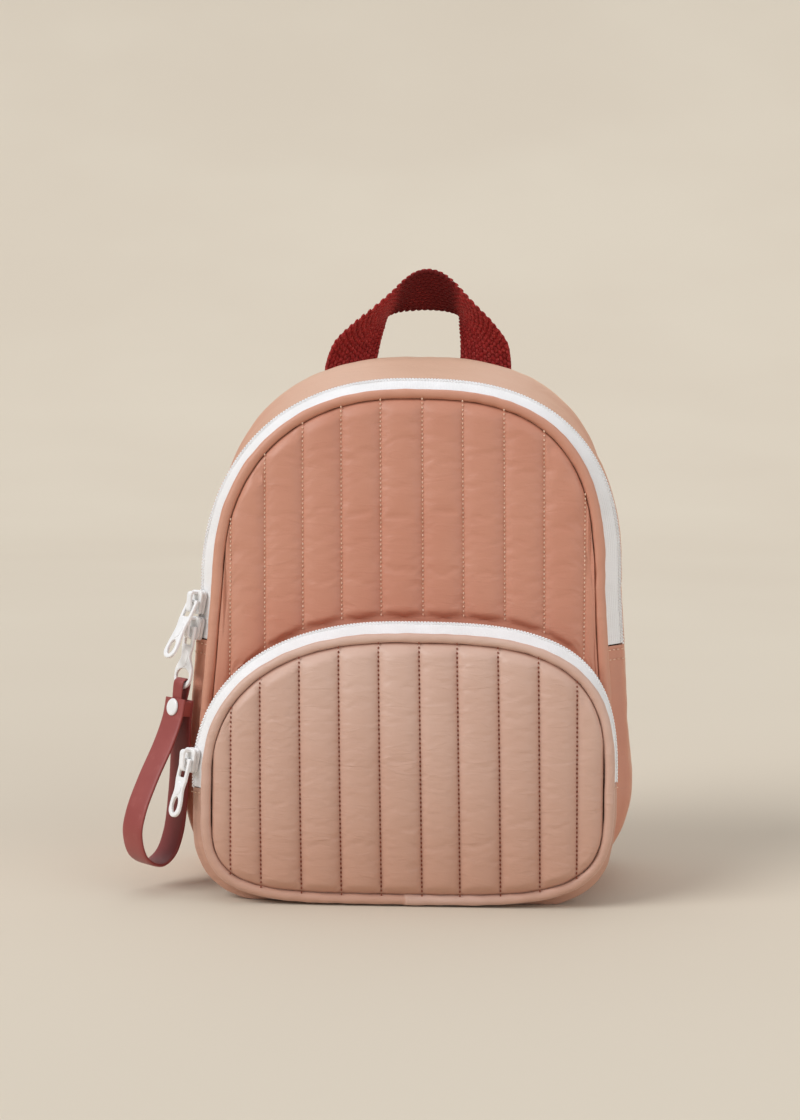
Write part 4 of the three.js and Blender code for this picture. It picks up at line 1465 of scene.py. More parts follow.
@dataclass
class ZipRun:
    """A zip: its tape, and the coil along it.

    Chain is the coil's place across the tape, from 0 at the front edge to 1 at the rear one.
    """

    label: str
    surface: Callable[..., Array]
    start: float
    end: float
    rings: Sequence[Ring]
    thickness: float = 1.2
    wave: float = 0.12
    across: int = 14
    chain: float = 0.95
    beside: float = 0.05
    pitch: float = 1.45
    reach: float = 1
    height: float = 0.34
    lift: float = 0.12

    def build(self) -> None:
        """Makes the tape and winds the coil along it."""
        tape = SewnWall(f"{self.label}_zip_tape", self.surface, self.start, self.end, self.rings,
                        Palette.TAPE, self.thickness, across=self.across, wave=self.wave)
        tape.build()
        shares = np.linspace(self.start, self.end, tape.stations * 2)
        places = self.chain + np.array([-self.beside, 0, self.beside])
        grid = self.surface(shares, ring_rows(self.rings, places))
        lines = Lines()
        lines.add(grid[:, 1], wall_normals(grid)[:, 1])
        sizes = {key: getattr(self, key) * MM for key in ("pitch", "lift", "reach", "height")}
        place(TREES["coil"].grow(f"{self.label}_zip_coil", lines, **sizes), Palette.COIL)


# Hardware, straps and webbing

@dataclass(frozen=True)
class Row:
    """One section of a band: its middle, the way across it, its size, and how much painted shade darkens its
    front face.
    """

    centre: Sequence[float]
    across: Sequence[float]
    width: float
    thickness: float
    dim: float = 0


class Band:
    """A flat or padded band through rows."""

    SIDES = 24

    def __init__(self, rows: Sequence[Row], steps: int, square: bool = True) -> None:
        """Works out the band's sections.

        Args:
            rows: its sections from end to end.
            steps: number of stretches that it is cut into.
            square: whether sections stand square to the band; otherwise they keep the slant of their rows.
        """
        shares = np.linspace(0, 1, steps + 1)
        path = Path([row.centre for row in rows])
        self.middle = path.at(shares)
        self.along = path.tangents(shares)
        across = Path([row.across for row in rows]).at(shares)
        slant = (across * self.along).sum(-1, keepdims=True) * self.along
        self.across = unit(across - slant if square else across)
        self.normal = unit(np.cross(self.along, self.across))
        places = np.linspace(0, 1, len(rows))
        sizes = zip(*((row.width, row.thickness, row.dim) for row in rows))
        self.width, self.thickness, self.dim = (np.interp(shares, places, size) for size in sizes)

    def points(self, side: Array, face: Array) -> Array:
        """Points, sections by points by 3, at places from -1 to 1 across and through the thickness."""
        side, face = np.broadcast_arrays(np.atleast_2d(side), np.atleast_2d(face))
        return (self.middle[:, None] + (side * self.width[:, None] / 2)[..., None] * self.across[:, None]
                + (face * self.thickness[:, None] / 2)[..., None] * self.normal[:, None])

    def solid(self, square: float = 6, sides: int = SIDES) -> Cloth:
        """The band as a closed solid with rounded edges."""
        angle = np.linspace(0, 2 * math.pi, sides, endpoint=False) + math.pi / sides
        side = np.sign(np.cos(angle)) * np.abs(np.cos(angle)) ** (1 / square)
        face = np.sign(np.sin(angle)) * np.abs(np.sin(angle)) ** (2 / square)
        return Cloth.tube(self.points(side, face))


@dataclass
class Webbing:
    """A woven band: a thin core with a float of yarn at each crossing, staggered from yarn to yarn.

    Margin and float length are shares of a pitch, and float width is a share of a yarn's room. Floats
    slant to both sides in turn, and tilt outwards past the place across that is named edge.
    """

    name: str
    rows: Sequence[Row]
    steps: int
    yarns: int = 13
    pitch: float = 2.7
    float_height: float = 0.62
    square: bool = True
    inset: float = 0.9
    margin: float = 0.3
    float_length: float = 0.6
    float_width: float = 0.56
    slant: float = 0.28
    edge: float = 0.85
    edge_tilt: float = 0.8
    seed: int = 11

    def build(self) -> None:
        """Makes the core and sets its yarns on both faces."""
        band = Band(self.rows, self.steps, self.square)
        thinner = [replace(row, width=row.width - self.inset, thickness=row.thickness - self.inset)
                   for row in self.rows]
        core = Band(thinner, self.steps, self.square)
        place(core.solid(4, 16).object(self.name), Palette.WEBBING, stands_for=[self.name])
        lines = Lines()
        for yarn in range(self.yarns):
            for face in (-1, 1):
                self.add_floats(lines, band, yarn, face)
        size = (self.pitch * self.float_length * MM, self.rows[0].width / self.yarns * self.float_width * MM,
                self.float_height * MM)
        yarns = TREES["weave"].grow(self.name + "_yarns", lines, yarn=size, seed=self.seed)
        place(yarns, Palette.WEBBING)

    def add_floats(self, lines: Lines, band: Band, yarn: int, face: int) -> None:
        """Adds the floats of one yarn on one face.

        Args:
            lines: where the floats are kept.
            band: the band that they lie on.
            yarn: the yarn's number, counted across the band.
            face: which face, -1 or 1.
        """
        lengths = walked(band.middle)
        sections = np.arange(len(lengths))
        start = self.pitch * (self.margin + 0.5 * ((yarn + (face > 0)) % 2))
        end = lengths[-1] - self.margin * self.pitch
        spots = np.interp(np.arange(start, end, self.pitch), lengths, sections)

        def read(rows: Array) -> Array:
            """Rows at the spots."""
            return np.stack([np.interp(spots, sections, rows[:, k]) for k in range(3)], -1)

        side = (2 * yarn + 1) / self.yarns - 1
        grid = band.points(side, face * 0.5)[:, 0]
        slant = self.slant if yarn % 2 else -self.slant
        tilt = np.sign(side) * smoothstep(np.abs(np.array(side)), self.edge, 1.0) * self.edge_tilt
        outs = face * read(band.normal) + tilt * read(band.across)
        # Painted shade on the floats of one face, taken from the band's rows.
        tone = np.interp(spots, sections, band.dim) if face < 0 else 0
        lines.add(read(grid), outs, read(band.along) + slant * read(band.across), tone)


@dataclass(frozen=True)
class Seat:
    """Where a slider sits on the left run of its zip: X across the zip to the front, Y up, Z out.

    Inward is how far before, inside and below the zip's rear ring that is.
    """

    surface: Callable[..., Array]
    seam: SeamLine
    rings: Sequence[Ring]
    height: float
    inward: tuple[float, float, float] = (1.2, 0.9, 0.7)
    step: float = 2

    def frame(self) -> Array:
        """The seat's 4 by 4 frame in millimetres."""
        front, _, rear = self.rings
        before, inside, below = self.inward
        middle = replace(rear, behind=rear.behind - before, side=rear.side - inside, top=rear.top - below)
        rows = np.array([astuple(ring) for ring in (front, middle, rear)])
        heights = (self.height - self.step, self.height, self.height + self.step)
        grid = self.surface(np.array([self.seam.share_at(height, left=True) for height in heights]), rows)
        across = unit(grid[1, 0] - grid[1, 2])
        up = unit(grid[2, 1] - grid[0, 1])
        out = unit(np.cross(across, up))
        return frame_of(np.cross(up, out), up, out, grid[1, 1])


class Tip(Enum):
    """Shape of a pull's end: its half width, the hole's rise, half width and half height."""

    OVAL = (4, 1.6, 2.1, 3.6)
    WIDE = (6, 0.2, 4.7, 3.5)


@dataclass
class ZipPull:
    """A slider on its zip and the pull that hangs from its bridge.

    Core is the slider's core against its plates, across and along. Bridge bend is the outer and the inner
    radius of the bridge's corners. Heights on the pull count up from the bar that it hangs by. Waist is how
    far its sides are drawn in, and where; flare how far inside the tip's width they still are, above it.
    """

    prefix: str
    suffix: str
    seat: Seat
    swing: float
    length: float
    tip: Tip
    body: str
    slider_width: float = 8.6
    slider_length: float = 11
    slider_height: float = 3.4
    slider_corner: float = 2.4
    slider_foot: float = 1
    slider_taper: float = 0.74
    slider_plate: float = 1.5
    slider_lift: float = 0.4
    core: Pair = (0.84, 0.9)
    core_gap: float = 0.6
    core_edge: float = 0.2
    bridge: float = 3
    bridge_height: float = 4.2
    bridge_inset: float = 0.6
    bridge_bend: Pair = (1.8, 0.7)
    bridge_sunk: float = -0.5
    bridge_edge: float = 0.35
    bar: float = 1.3
    pivot: float = 5.2
    half_width: float = 3.8
    thickness: float = 1.6
    edge: float = 0.5
    head: float = 0.8
    head_corner: float = 0.6
    eye_half: float = 2.2
    eye_ends: Pair = (-7.8, -0.8)
    eye_corner: float = 0.8
    shoulder: float = -9
    waist: Pair = (0.7, -13.5)
    flare: Pair = (0.1, 3.4)
    panel_half: float = 2.3
    panel_top: float = -9.2
    panel_gap: float = 0.7
    panel_least: float = 1.2
    panel_rise: float = 0.7
    panel_edge: float = 0.3

    def hinge(self) -> Array:
        """The frame that the pull hangs in, swung out from the zip."""
        turn = np.array(Matrix.Rotation(-math.radians(self.swing), 3, "X"))
        return self.seat.frame() @ frame_of(*turn.T, (0, 0, self.pivot))

    def build(self) -> None:
        """Makes the slider on the bag and the pull on its own body."""
        name = f"{self.prefix}_slider{self.suffix}"
        slider = self.slider().moved(self.seat.frame())
        place(slider.object(name, crease=35), Palette.WHITE, stands_for=[name])
        name = f"{self.prefix}_pull{self.suffix}"
        place(self.pull().moved(self.hinge()).object(name, crease=35), Palette.WHITE, self.body, [name])

    def slider(self) -> Cloth:
        """Two plates on a core, with the bridge over the upper one."""
        x, y = self.slider_width / 2, self.slider_length / 2
        round_by, foot = self.slider_corner, self.slider_foot
        narrow, upper, lower = x * self.slider_taper, (round_by, round_by), (foot, foot)
        outline = [*arc((x - round_by, y - round_by), upper, 0, 90, 6),
                   *arc((round_by - x, y - round_by), upper, 90, 180, 6),
                   *arc((foot - narrow, foot - y), lower, 180, 270, 4),
                   *arc((narrow - foot, foot - y), lower, 270, 360, 4)]
        low, high = self.slider_lift, self.slider_lift + self.slider_height
        body = plate(outline, [], self.slider_plate, self.edge)
        across, along = self.core
        core = plate([(across * a, along * b) for a, b in outline], [],
                     self.slider_height - self.core_gap, self.core_edge)
        upright = frame_of((0, 1, 0), (0, 0, 1), (1, 0, 0), (0, 0, high))
        arch = self.bridge_outline(y - self.bridge_inset)
        loop = plate(arch, [], self.bridge, self.bridge_edge).moved(upright)
        inset = self.slider_plate / 2
        for piece, height in ((body, high - inset), (core, (low + high) / 2), (body, low + inset)):
            loop = loop.joined(piece.shifted(z=height))
        return loop

    def bridge_outline(self, half: float) -> Outline:
        """Points round the bridge, seen from the side, with half its length given."""
        top, bar, sunk, (outer, inner) = self.bridge_height, self.bar, self.bridge_sunk, self.bridge_bend
        bend, under = (outer, outer), (inner, inner)
        return [(-half, sunk), *arc((-half + outer, top - outer), bend, 180, 90, 5),
                *arc((half - outer, top - outer), bend, 90, 0, 5), (half, sunk), (half - bar, sunk),
                *arc((half - bar - inner, top - bar - inner), under, 0, 90, 3),
                *arc((-half + bar + inner, top - bar - inner), under, 90, 180, 3), (-half + bar, sunk)]

    def pull(self) -> Cloth:
        """A waisted tab with an eye for the bridge and a hole near its tip."""
        half, (tip, rise, hole_half, hole_high) = self.half_width, self.tip.value
        end, (drawn, waist), (inside, above) = tip - self.length, self.waist, self.flare
        flank = Path([(half, self.shoulder), (half - drawn, waist), (tip - inside, end + above), (tip, end)])
        right = [(x, y) for x, y in flank.at(np.linspace(0, 1, 14)).tolist()]
        left = [(-x, y) for x, y in reversed(right)]
        corner, level = (self.head_corner, self.head_corner), self.head - self.head_corner
        outline = [*arc((half - self.head_corner, level), corner, 90, 0, 3), *right,
                   *arc((0, end), (tip, tip), 0, -180, 16)[1:], *left[1:],
                   *arc((self.head_corner - half, level), corner, 180, 90, 3)]
        eye = rounded_box(self.eye_half, *self.eye_ends, self.eye_corner, 4)
        hole = arc((0, end + rise), (hole_half, hole_high), 0, 360, 22)[:-1]
        tab = plate(outline[::-1], [eye, hole], self.thickness, self.edge)
        bottom = end + rise + hole_high
        reach = (self.panel_top - bottom) / 2 - self.panel_gap
        if reach > self.panel_least:
            oval = arc((0, (bottom + self.panel_top) / 2), (self.panel_half, reach), 0, 360, 24)[:-1]
            tab = tab.joined(plate(oval, [], self.thickness + self.panel_rise, self.panel_edge))
        return tab


@dataclass
class LoopTag:
    """The bare loop strap on the lower pull, its tongue through the pull's hole, and its snap.

    Stops of the loop are seen along the strap's width: out from the pull, and down from its tip. Block is
    the half height and the thickness of the strap's sewn end, and profile the snap's width and height.
    """

    pull: ZipPull
    stops: Table = (
        (2.3, 4.4), (2.5, 13), (5.2, 25), (11.4, 43), (15.2, 58), (15.2, 68), (9.6, 78),
        (0.6, 80.6), (-5.4, 76), (-8.2, 66), (-7.6, 48), (-5.4, 30), (-2.7, 13), (-2.3, 4.4))
    width: float = 14
    thickness: float = 1.8
    tongue_width: float = 6.6
    tongue_thickness: float = 1.1
    tongue_root: float = 0.8
    tongue_drop: float = 2
    tongue_gap: float = 0.5
    tongue_rise: float = 2.3
    tongue_bend: float = 1.1
    seam: float = 8.6
    block: Pair = (3.5, 4.2)
    block_inset: float = 0.1
    block_corner: float = 0.6
    block_edge: float = 0.5
    snap: Pair = (3.8, 4.0)
    snap_gap: float = 0.05
    profile: Table = (
        (0.94, 0), (1, 0.25), (0.99, 0.62), (0.93, 0.9), (0.8, 1.08), (0.45, 1.18), (0.1, 1.2))

    def band(self, stops: Sequence[Pair], width: float, thickness: float, steps: int) -> Cloth:
        """A band through stops of height and distance out."""
        rows = [Row((0, y, out), (1, 0, 0), width, thickness) for y, out in stops]
        return Band(rows, steps).solid(3)

    def build(self) -> None:
        """Makes the strap and its snap in the frame of the pull."""
        frame, tip = self.pull.hinge(), -self.pull.length
        loop = self.band([(tip - down, out) for out, down in self.stops], self.width, self.thickness, 150)
        half_tip, _, _, hole_high = self.pull.tip.value
        reach = self.pull.thickness / 2 + self.tongue_thickness / 2 + self.tongue_gap
        high = tip + half_tip - hole_high + self.tongue_rise
        root = tip - self.seam
        rise = [(root, self.tongue_root), (tip - self.tongue_drop, reach), (high - self.tongue_bend, reach)]
        fall = [(y, -out) for y, out in reversed(rise)]
        tongue = self.band([*rise, (high, 0), *fall], self.tongue_width, self.tongue_thickness, 60)
        half, thickness = self.block
        end = rounded_box(self.width / 2 - self.block_inset, -half, half, self.block_corner, 4)
        block = plate(end, [], thickness, self.block_edge).shifted(y=root)
        strap = loop.joined(tongue).joined(block)
        # Painted shade on the inner half of the loop's sides.
        strap.tone = np.zeros(len(strap.points))
        strap.tone[:len(loop.points)] = np.arange(len(loop.points)) % Band.SIDES >= Band.SIDES / 2
        place(strap.moved(frame).object("tag_strap"), Palette.RUBBER, self.pull.body, ["tag_strap"])
        place(self.head().moved(frame).object("tag_rivet"), Palette.WHITE, self.pull.body, ["tag_rivet"])

    def head(self) -> Cloth:
        """The snap's flat head with a rounded rim."""
        low = self.stops[0][0] + self.thickness / 2 + self.snap_gap
        oval = np.array(arc((0, 0), self.snap, 0, 360, 40)[:-1])
        sections = [np.insert(oval * part, 2, height, axis=1) for part, height in self.profile]
        return Cloth.tube(np.array(sections)).shifted(y=-self.pull.length - self.seam, z=low)


@dataclass
class GrabHandle:
    """The webbing handle at the top of the back panel.

    Both limbs run from a sewn end over their own stops to the top. Stops are x and z of the outer and of
    the inner edge, seen from the front with z from the foot, and the distance behind the back panel. Skew
    leans the top to the right, and shift moves the whole handle there. Turn is how far the limbs face
    sideways, and what the top adds.
    """

    end: Table = ((45.4, -26, 20.4, -26, 1.6), (45.4, -9, 20.4, -9, 1.6), (45.4, 2, 20.4, 3, 1.4))
    right: Table = (
        (42.4, 13.2, 19.4, 12.4, -0.6), (36.2, 20.8, 18.6, 18.4, -2.4), (27.2, 29.2, 17.8, 23.6, -4.4),
        (19, 36.6, 16.8, 27.2, -5.6), (12, 43.4, 12, 28.9, -6.6), (5.8, 47.4, 5.6, 29.6, -7.2))
    left: Table = (
        (42, 13.2, 20, 12.4, -0.6), (35, 20.8, 19.8, 18.4, -2.4), (25, 29.2, 19.6, 23.6, -4.4),
        (16.8, 36.6, 18.6, 27.2, -5.6), (10.4, 43.4, 13.4, 29, -6.6), (5.2, 47.4, 6.2, 29.6, -7.2))
    top: tuple[float, ...] = (0, 48.6, 0, 29.8, -7.5)
    width: float = 25
    thickness: float = 1.8
    foot: float = 238
    skew: float = 5.5
    shift: float = 1.5
    turn: Pair = (0.72, 0.33)
    turned_over: Pair = (17, 29.8)
    # Painted shade span: heights of the inner edge over which painted shade comes in on the underside of the
    # top.
    dimmed_over: Pair = (27, 28.9)
    foot_inset: float = 9

    def row(self, side: int, stop: Sequence[float]) -> Row:
        """One section of the handle on its right or left side."""
        outer_x, outer_z, inner_x, inner_z, behind = stop
        x, rise = (outer_x + inner_x) / 2, (outer_z + inner_z) / 2
        across = np.array([side * (outer_x - inner_x), 0, outer_z - inner_z])
        limb, more = self.turn
        turn = limb + more * float(smoothstep(np.array(inner_z), *self.turned_over))
        across[1] = -turn * math.sqrt(max(0, self.width ** 2 - float(across @ across)))
        lean = self.shift + self.skew * max(0, rise / self.top[1])
        y = float(FORM.back_face(x, min(self.foot + rise, self.foot - self.foot_inset))) + behind
        width = float(np.linalg.norm(across))
        # Painted shade that darkens the underside of the top.
        dim = float(smoothstep(np.array(inner_z), *self.dimmed_over))
        return Row((side * x + lean, y, self.foot + rise), across, width, self.thickness, dim)

    def build(self) -> None:
        """Weaves the handle."""
        right = [self.row(1, stop) for stop in (*self.end, *self.right, self.top)]
        left = [self.row(-1, stop) for stop in (*self.end, *self.left)]
        Webbing("grab_handle", right + left[::-1], 168, square=False).build()


STRAP_SEAM = Stitching(Palette.ROSE_THREAD, pitch=3, length=2.5, width=0.7, lift=0.12, seed=8)


@dataclass
class ShoulderStrap:
    """A padded strap, the adjuster at its end, and the webbing from there to the bag's foot.

    Stops are x, distance behind the back panel, z, width and thickness. Threading is the way of a band
    through a slot of the adjuster: along from its middle bar, and out of it. Sewn is the run of sections
    along which the pad's edges are sewn.
    """

    label: str
    side: int
    pad: Table = (
        (44, 3.6, 205, 30, 6), (44, 6, 192, 32, 6), (46, 15, 170, 34, 6), (51, 22, 140, 34, 6),
        (57, 23.5, 108, 33, 6), (60.6, 21.6, 89, 31, 6), (61.4, 20.4, 84.5, 21, 2.4))
    tail: Table = (
        (68.6, 13, 50, 20, 1.2), (71.6, 6.4, 36, 20, 1.2), (73.5, 1.6, 26, 20, 1.2), (74, 1.2, 16, 20, 1.2))
    middle: tuple[float, ...] = (64.8, 17, 68, 25.4, 2)
    threading: Table = (
        (10.4, -2), (7.6, -2), (5.8, -1.2), (3.2, 1.2), (1.6, 2), (0.3, 2))
    half_length: float = 9.6
    band_size: Pair = (20, 1.2)
    puckers: Table = ((0.22, 12, 21), (0.2, 34, 22))
    pucker_share: float = 0.6
    sewn: tuple[int, int] = (4, 92)
    seam_side: float = 0.8
    seam_face: float = 0.9
    corner: float = 1.8
    edge: float = 0.6
    slot_half: float = 10.6
    slot_corner: float = 0.9
    slot_ends: Table = ((1.2, 7.2), (-7.2, -1.2))

    def row(self, stop: Sequence[float]) -> Row:
        """One section of the strap or its webbing."""
        x, behind, z, width, thickness = stop
        return Row((self.side * x, float(FORM.back_face(x, z)) + behind, z), (1, 0, 0), width, thickness)

    def frame(self) -> Array:
        """The adjuster's frame: X across, Y up along the strap and Z out of it."""
        along = unit(np.subtract(self.row(self.pad[-1]).centre, self.row(self.tail[0]).centre))
        across = unit(np.array([1.0, 0, 0]) - along[0] * along)
        return frame_of(across, along, np.cross(across, along), self.row(self.middle).centre)

    def threaded(self, way: int) -> list[Row]:
        """Sections through the upper slot, way 1, or the lower one, way -1."""
        across, along, outward, middle = self.frame()[:3].T
        return [Row(middle + way * up * along + out * outward, across, *self.band_size)
                for up, out in self.threading]

    def build(self) -> None:
        """Makes the pad with its seams, the adjuster and the webbing."""
        band = Band([*map(self.row, self.pad), *self.threaded(1)], 150)
        pad = band.solid(3.2, 36)
        puckers = puckered(pad.points, self.puckers)
        pad.points = pad.points + puckers[:, None] * np.array([0.0, self.pucker_share, 0.0])
        name = f"shoulder_strap_{self.label}"
        place(pad.object(name, crease=80), Palette.TERRACOTTA, stands_for=[name])
        lines, sewn = Lines(), slice(*self.sewn)
        for side in (-self.seam_side, self.seam_side):
            for face in (-1, 1):
                edge = band.points(side, face * self.seam_face)[sewn, 0]
                lines.add(edge, face * band.normal[sewn])
        STRAP_SEAM.sew(name + "_stitches", lines)
        self.adjuster()
        rows = [*reversed(self.threaded(-1)), *map(self.row, self.tail)]
        Webbing(f"strap_webbing_{self.label}", rows, 72, yarns=11, pitch=2.5, float_height=0.42).build()

    def adjuster(self) -> None:
        """Makes the plastic adjuster with its two slots."""
        slots = [rounded_box(self.slot_half, low, high, self.slot_corner, 3) for low, high in self.slot_ends]
        width, thickness = self.middle[3:]
        outline = rounded_box(width / 2, -self.half_length, self.half_length, self.corner)
        buckle = plate(outline, slots, thickness, self.edge)
        name = f"strap_adjuster_{self.label}"
        place(buckle.moved(self.frame()).object(name, crease=35), Palette.WHITE, stands_for=[name])


# Studio

@dataclass(frozen=True)
class Lamp:
    """A far, wide lamp that lights everything evenly from one side, with its width in degrees."""

    label: str
    side: tuple[float, float, float]
    width: float
    power: float
    colour: str = "#fdfdff"

    def build(self) -> None:
        """Hangs the lamp."""
        light = bpy.data.lights.new(self.label, "SUN")
        light.angle = math.radians(self.width)
        light.energy = self.power
        light.color = paint(self.colour)[:3]
        lamp = linked(self.label, light)
        lamp.location = self.side
        lamp.rotation_euler = Vector(self.side).to_track_quat("Z", "Y").to_euler()


@dataclass(frozen=True)
class Studio:
    """A pale sweep, soft lamps and the camera, with lengths in millimetres and angles in degrees.

    The sweep's floor lies a hair under the bag, from its front edge to the bend up to the backdrop.
    """

    azimuth: float = 1.2
    elevation: float = 4.9
    roll: float = 0.7
    distance: float = 960
    target: tuple[float, float, float] = (-4.2, -40, 152.7)
    lens: float = 68.3
    sensor: float = 36
    far: float = 30000
    floor_front: float = -3200
    floor_gap: float = 0.2
    half_width: float = 4200
    bend_start: float = 1800
    bend_radius: float = 4500
    bend_turn: float = 70
    lamps: tuple[Lamp, ...] = (
        Lamp("key", (-1.6, -1.0, 1.45), 34, 1.85),
        Lamp("top", (-0.1, 0.45, 1.0), 70, 1.0),
        Lamp("fill", (2.0, -1.3, 1.0), 60, 0.95),
    )
    ambient: float = 0.27
    ambient_colour: str = "#f4f5fa"

    def build(self) -> None:
        """Sets up the studio."""
        self.sweep()
        for lamp in self.lamps:
            lamp.build()
        world = bpy.data.worlds.new("studio")
        bpy.context.scene.world = world
        world.use_nodes = True
        background = world.node_tree.nodes["Background"]
        background.inputs["Color"].default_value = paint(self.ambient_colour)
        background.inputs["Strength"].default_value = self.ambient
        bpy.context.scene.view_settings.view_transform = "Standard"
        self.camera()

    def sweep(self) -> None:
        """Floor and backdrop in one sheet, with a wide bend between them."""
        radius = self.bend_radius
        bend = arc((self.bend_start, radius), (radius, radius), -90, self.bend_turn - 90, 30)
        profile = [(self.floor_front, 0), *bend]
        points = np.array([(x, y, z - self.floor_gap) for y, z in profile
                           for x in (-self.half_width, self.half_width)])
        mesh = bpy.data.meshes.new("studio_sweep")
        mesh.from_pydata((points * MM).tolist(), [], Cloth.quads(len(profile), 2))
        mesh.polygons.foreach_set("use_smooth", np.ones(len(mesh.polygons), bool))
        mesh.materials.append(Palette.SWEEP.value.material())
        linked("studio_sweep", mesh)

    def camera(self) -> None:
        """Puts the camera where the photograph was taken from."""
        turn, rise, roll = (math.radians(a) for a in (self.azimuth, self.elevation, self.roll))
        ahead = np.array([-math.sin(turn) * math.cos(rise), math.cos(turn) * math.cos(rise), -math.sin(rise)])
        right = np.array([math.cos(turn), math.sin(turn), 0])
        up = np.cross(right, ahead)
        rolled = right * math.cos(roll) + up * math.sin(roll)
        frame = frame_of(rolled, np.cross(rolled, ahead), -ahead, (self.target - self.distance * ahead) * MM)
        lens = bpy.data.cameras.new("camera")
        lens.lens = self.lens
        lens.sensor_width = self.sensor
        lens.clip_end = self.far * MM
        camera = linked("camera", lens)
        camera.matrix_world = Matrix(frame.tolist())
        bpy.context.scene.camera = camera


# The bag

FRONT_QUILTING = Stitching(Palette.PALE_THREAD, pitch=2, length=1.28, width=0.75, lift=0.4, seed=3)
POCKET_QUILTING = replace(FRONT_QUILTING, thread=Palette.BROWN_THREAD)
ZIP_END = Stitching(Palette.PALE_THREAD, pitch=2.3, length=1.9, width=0.6, lift=0.2, seed=5)
POCKET_ZIP_END = replace(ZIP_END, seed=6)


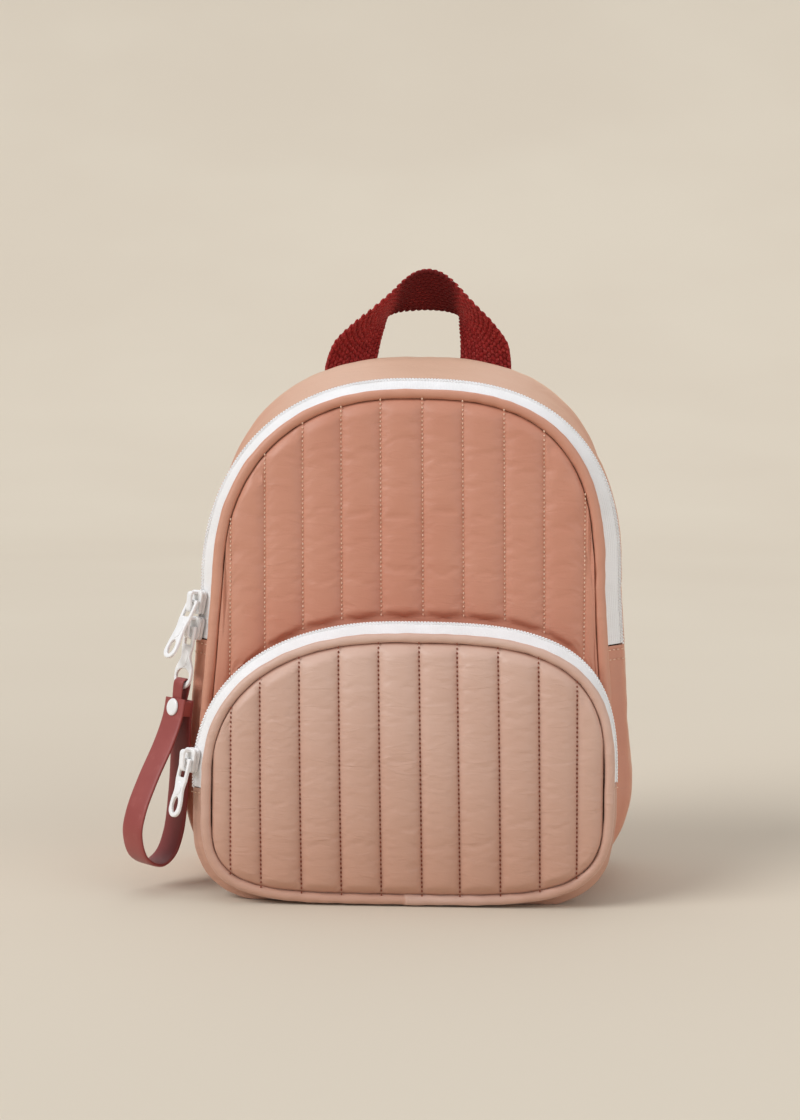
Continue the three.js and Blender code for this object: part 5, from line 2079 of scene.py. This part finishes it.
class Backpack:
    """All the pieces of the bag."""

    main_lines = (-81.2, -64.8, -47.0, -29.2, -11.2, 7.9, 26.3, 45.0, 62.7, 80.4)
    pocket_lines = (-78.0, -64.7, -46.9, -29.2, -11.4, 6.7, 23.6, 41.7, 59.4, 76.1)
    seam_gap = 0.0005
    pocket_cover = 8.3
    sewn_from = 0.02

    def build(self) -> None:
        """Makes the bag from its cloth to its hardware."""
        self.panels()
        self.main_walls()
        self.pocket_walls()
        self.hardware()
        GrabHandle().build()
        for label, side in (("left", -1), ("right", 1)):
            ShoulderStrap(label, side).build()

    def panels(self) -> None:
        """The quilted front and pocket, and the plain padded back."""
        pocket = FORM.pocket_seam

        def covered(x: Array) -> Array:
            """Height up to which the pocket covers the front."""
            return pocket.top(np.clip(x, -pocket.reach(x), pocket.reach(x))) + self.pocket_cover

        PaddedPanel(
            "front_panel", FORM.seam.grow(-FORM.front_inset), FORM.front_face, Palette.TERRACOTTA,
            FRONT_QUILTING, self.main_lines, puff=2.9, pinch=6.5, rows=170, lean=0.019,
            flat_under=covered).build()
        PaddedPanel(
            "pocket_panel", pocket.grow(-FORM.pocket_inset), FORM.pocket_face, Palette.PINK, POCKET_QUILTING,
            self.pocket_lines, puff=3.9, pinch=5.5, rows=110, lean=0.026).build()
        outline = FORM.seam.grow(FORM.back_grow)
        outline = replace(outline, base=replace(outline.base, height=outline.base.level))

        def back(x: Array, z: Array) -> Array:
            """Depth of the back panel's cloth before its filling pushes it out."""
            return FORM.back + FORM.back_lift + FORM.back_dome * outline.dome(x, z)

        PaddedPanel(
            "back_panel", outline, back, Palette.TERRACOTTA, puff=FORM.back_puff, pinch=10, back=2, facing=1,
            rows=90, spacing=2.6).build()

    @staticmethod
    def zip_shares(seam: SeamLine, ends: Pair, drop: float = 0) -> Pair:
        """Shares of a seam a drop below the right and the left end of its zip. Ends are left and right."""
        left, right = ends
        return seam.share_at(right - drop), seam.share_at(left - drop, left=True)

    def close_zip(self, wall: SewnWall, seam: SeamLine, ends: Pair, drops: Sequence[float],
                  last: float) -> Lines:
        """Lines across a wall below both ends of its zip.

        Args:
            wall: the wall that is sewn.
            seam: the seam that the wall runs along.
            ends: heights of the zip's left and right end.
            drops: distances of the lines below the ends.
            last: where the lines end, from 0 at the wall's front to 1 at its rear.

        Returns:
            The lines.
        """
        lines = Lines()
        for drop in drops:
            right, left = self.zip_shares(seam, ends, drop)
            for share in (left, 1 + right):
                lines.add(*wall.line_across(share, self.sewn_from, last))
        return lines

    def main_walls(self) -> None:
        """The front edge, the main zip and the gusset behind it."""
        # The front cord's tone is painted sheen.
        Piping("front_piping", FORM.seam, FORM.front_y, Palette.TERRACOTTA,
               side=(2.6, 1.6), top=(2.2, 1.1), tone=0.22).build()
        (right, left), gap = self.zip_shares(FORM.seam, FORM.zip_ends), self.seam_gap
        arch = (FORM.wall, right + gap, left - gap)
        ZipRun("main", *arch, ZIP_RINGS).build()
        # The upper gusset gets painted sheen where it faces up.
        SewnWall("upper_gusset", *arch, GUSSET_RINGS, Palette.TERRACOTTA,
                 wave=0.2, seed=31, bloom=0.75).build()
        lower = SewnWall("lower_gusset", FORM.wall, left + gap, 1 + right - gap,
                         ZIP_RINGS + GUSSET_RINGS[1:], Palette.TERRACOTTA, wave=0.35, seed=41)
        lower.build()
        lines = self.close_zip(lower, FORM.seam, FORM.zip_ends, drops=(2.2, 6.6), last=0.3)
        ZIP_END.sew("zip_end_stitches", lines)

    def pocket_walls(self) -> None:
        """The pocket's edge, its zip, the welt above and the gusset below."""
        # The pocket cord's tone is painted sheen.
        Piping("pocket_piping", FORM.pocket_seam, FORM.pocket_y, Palette.PINK,
               side=(2.3, 1.0), top=(2.1, 0.8), joined=True, tone=0.2).build()
        (right, left), gap = self.zip_shares(FORM.pocket_seam, FORM.pocket_zip_ends), self.seam_gap
        arch = (FORM.pocket_wall, right + gap, left - gap)
        ZipRun("pocket", *arch, POCKET_ZIP_RINGS).build()
        SewnWall("pocket_zip_welt", *arch, POCKET_WALL_RINGS, Palette.TERRACOTTA,
                 wave=0.2, across=16).build()
        lower = SewnWall("pocket_gusset", FORM.pocket_wall, left + gap, 1 + right - gap,
                         POCKET_ZIP_RINGS + POCKET_WALL_RINGS[1:], Palette.PINK,
                         wave=0.35, across=22, seed=51)
        lower.build()
        lines = self.close_zip(lower, FORM.pocket_seam, FORM.pocket_zip_ends, drops=(2.2,), last=0.38)
        POCKET_ZIP_END.sew("pocket_end_stitches", lines)

    def hardware(self) -> None:
        """The sliders, their pulls and the loop strap."""
        main = (FORM.wall, FORM.seam, ZIP_RINGS)
        pocket = (FORM.pocket_wall, FORM.pocket_seam, POCKET_ZIP_RINGS)
        ZipPull("main", "_upper", Seat(*main, height=129.5), swing=25, length=29,
                tip=Tip.OVAL, body="upper_pull").build()
        lower = ZipPull("main", "_lower", Seat(*main, height=117.5), swing=5, length=28.6,
                        tip=Tip.WIDE, body="lower_pull")
        lower.build()
        LoopTag(lower).build()
        ZipPull("pocket", "", Seat(*pocket, height=61.5), swing=10.5, length=26,
                tip=Tip.OVAL, body="pocket_pull_tab").build()


def main() -> None:
    """Loads the frame and makes the bag and its studio."""
    logging.basicConfig(level=logging.INFO, format="%(name)s %(message)s")
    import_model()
    TREES.update(thread=ThreadTree(), coil=CoilTree(), weave=WeaveTree())
    Backpack().build()
    Studio().build()
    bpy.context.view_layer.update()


if __name__ == "__main__":
    main()
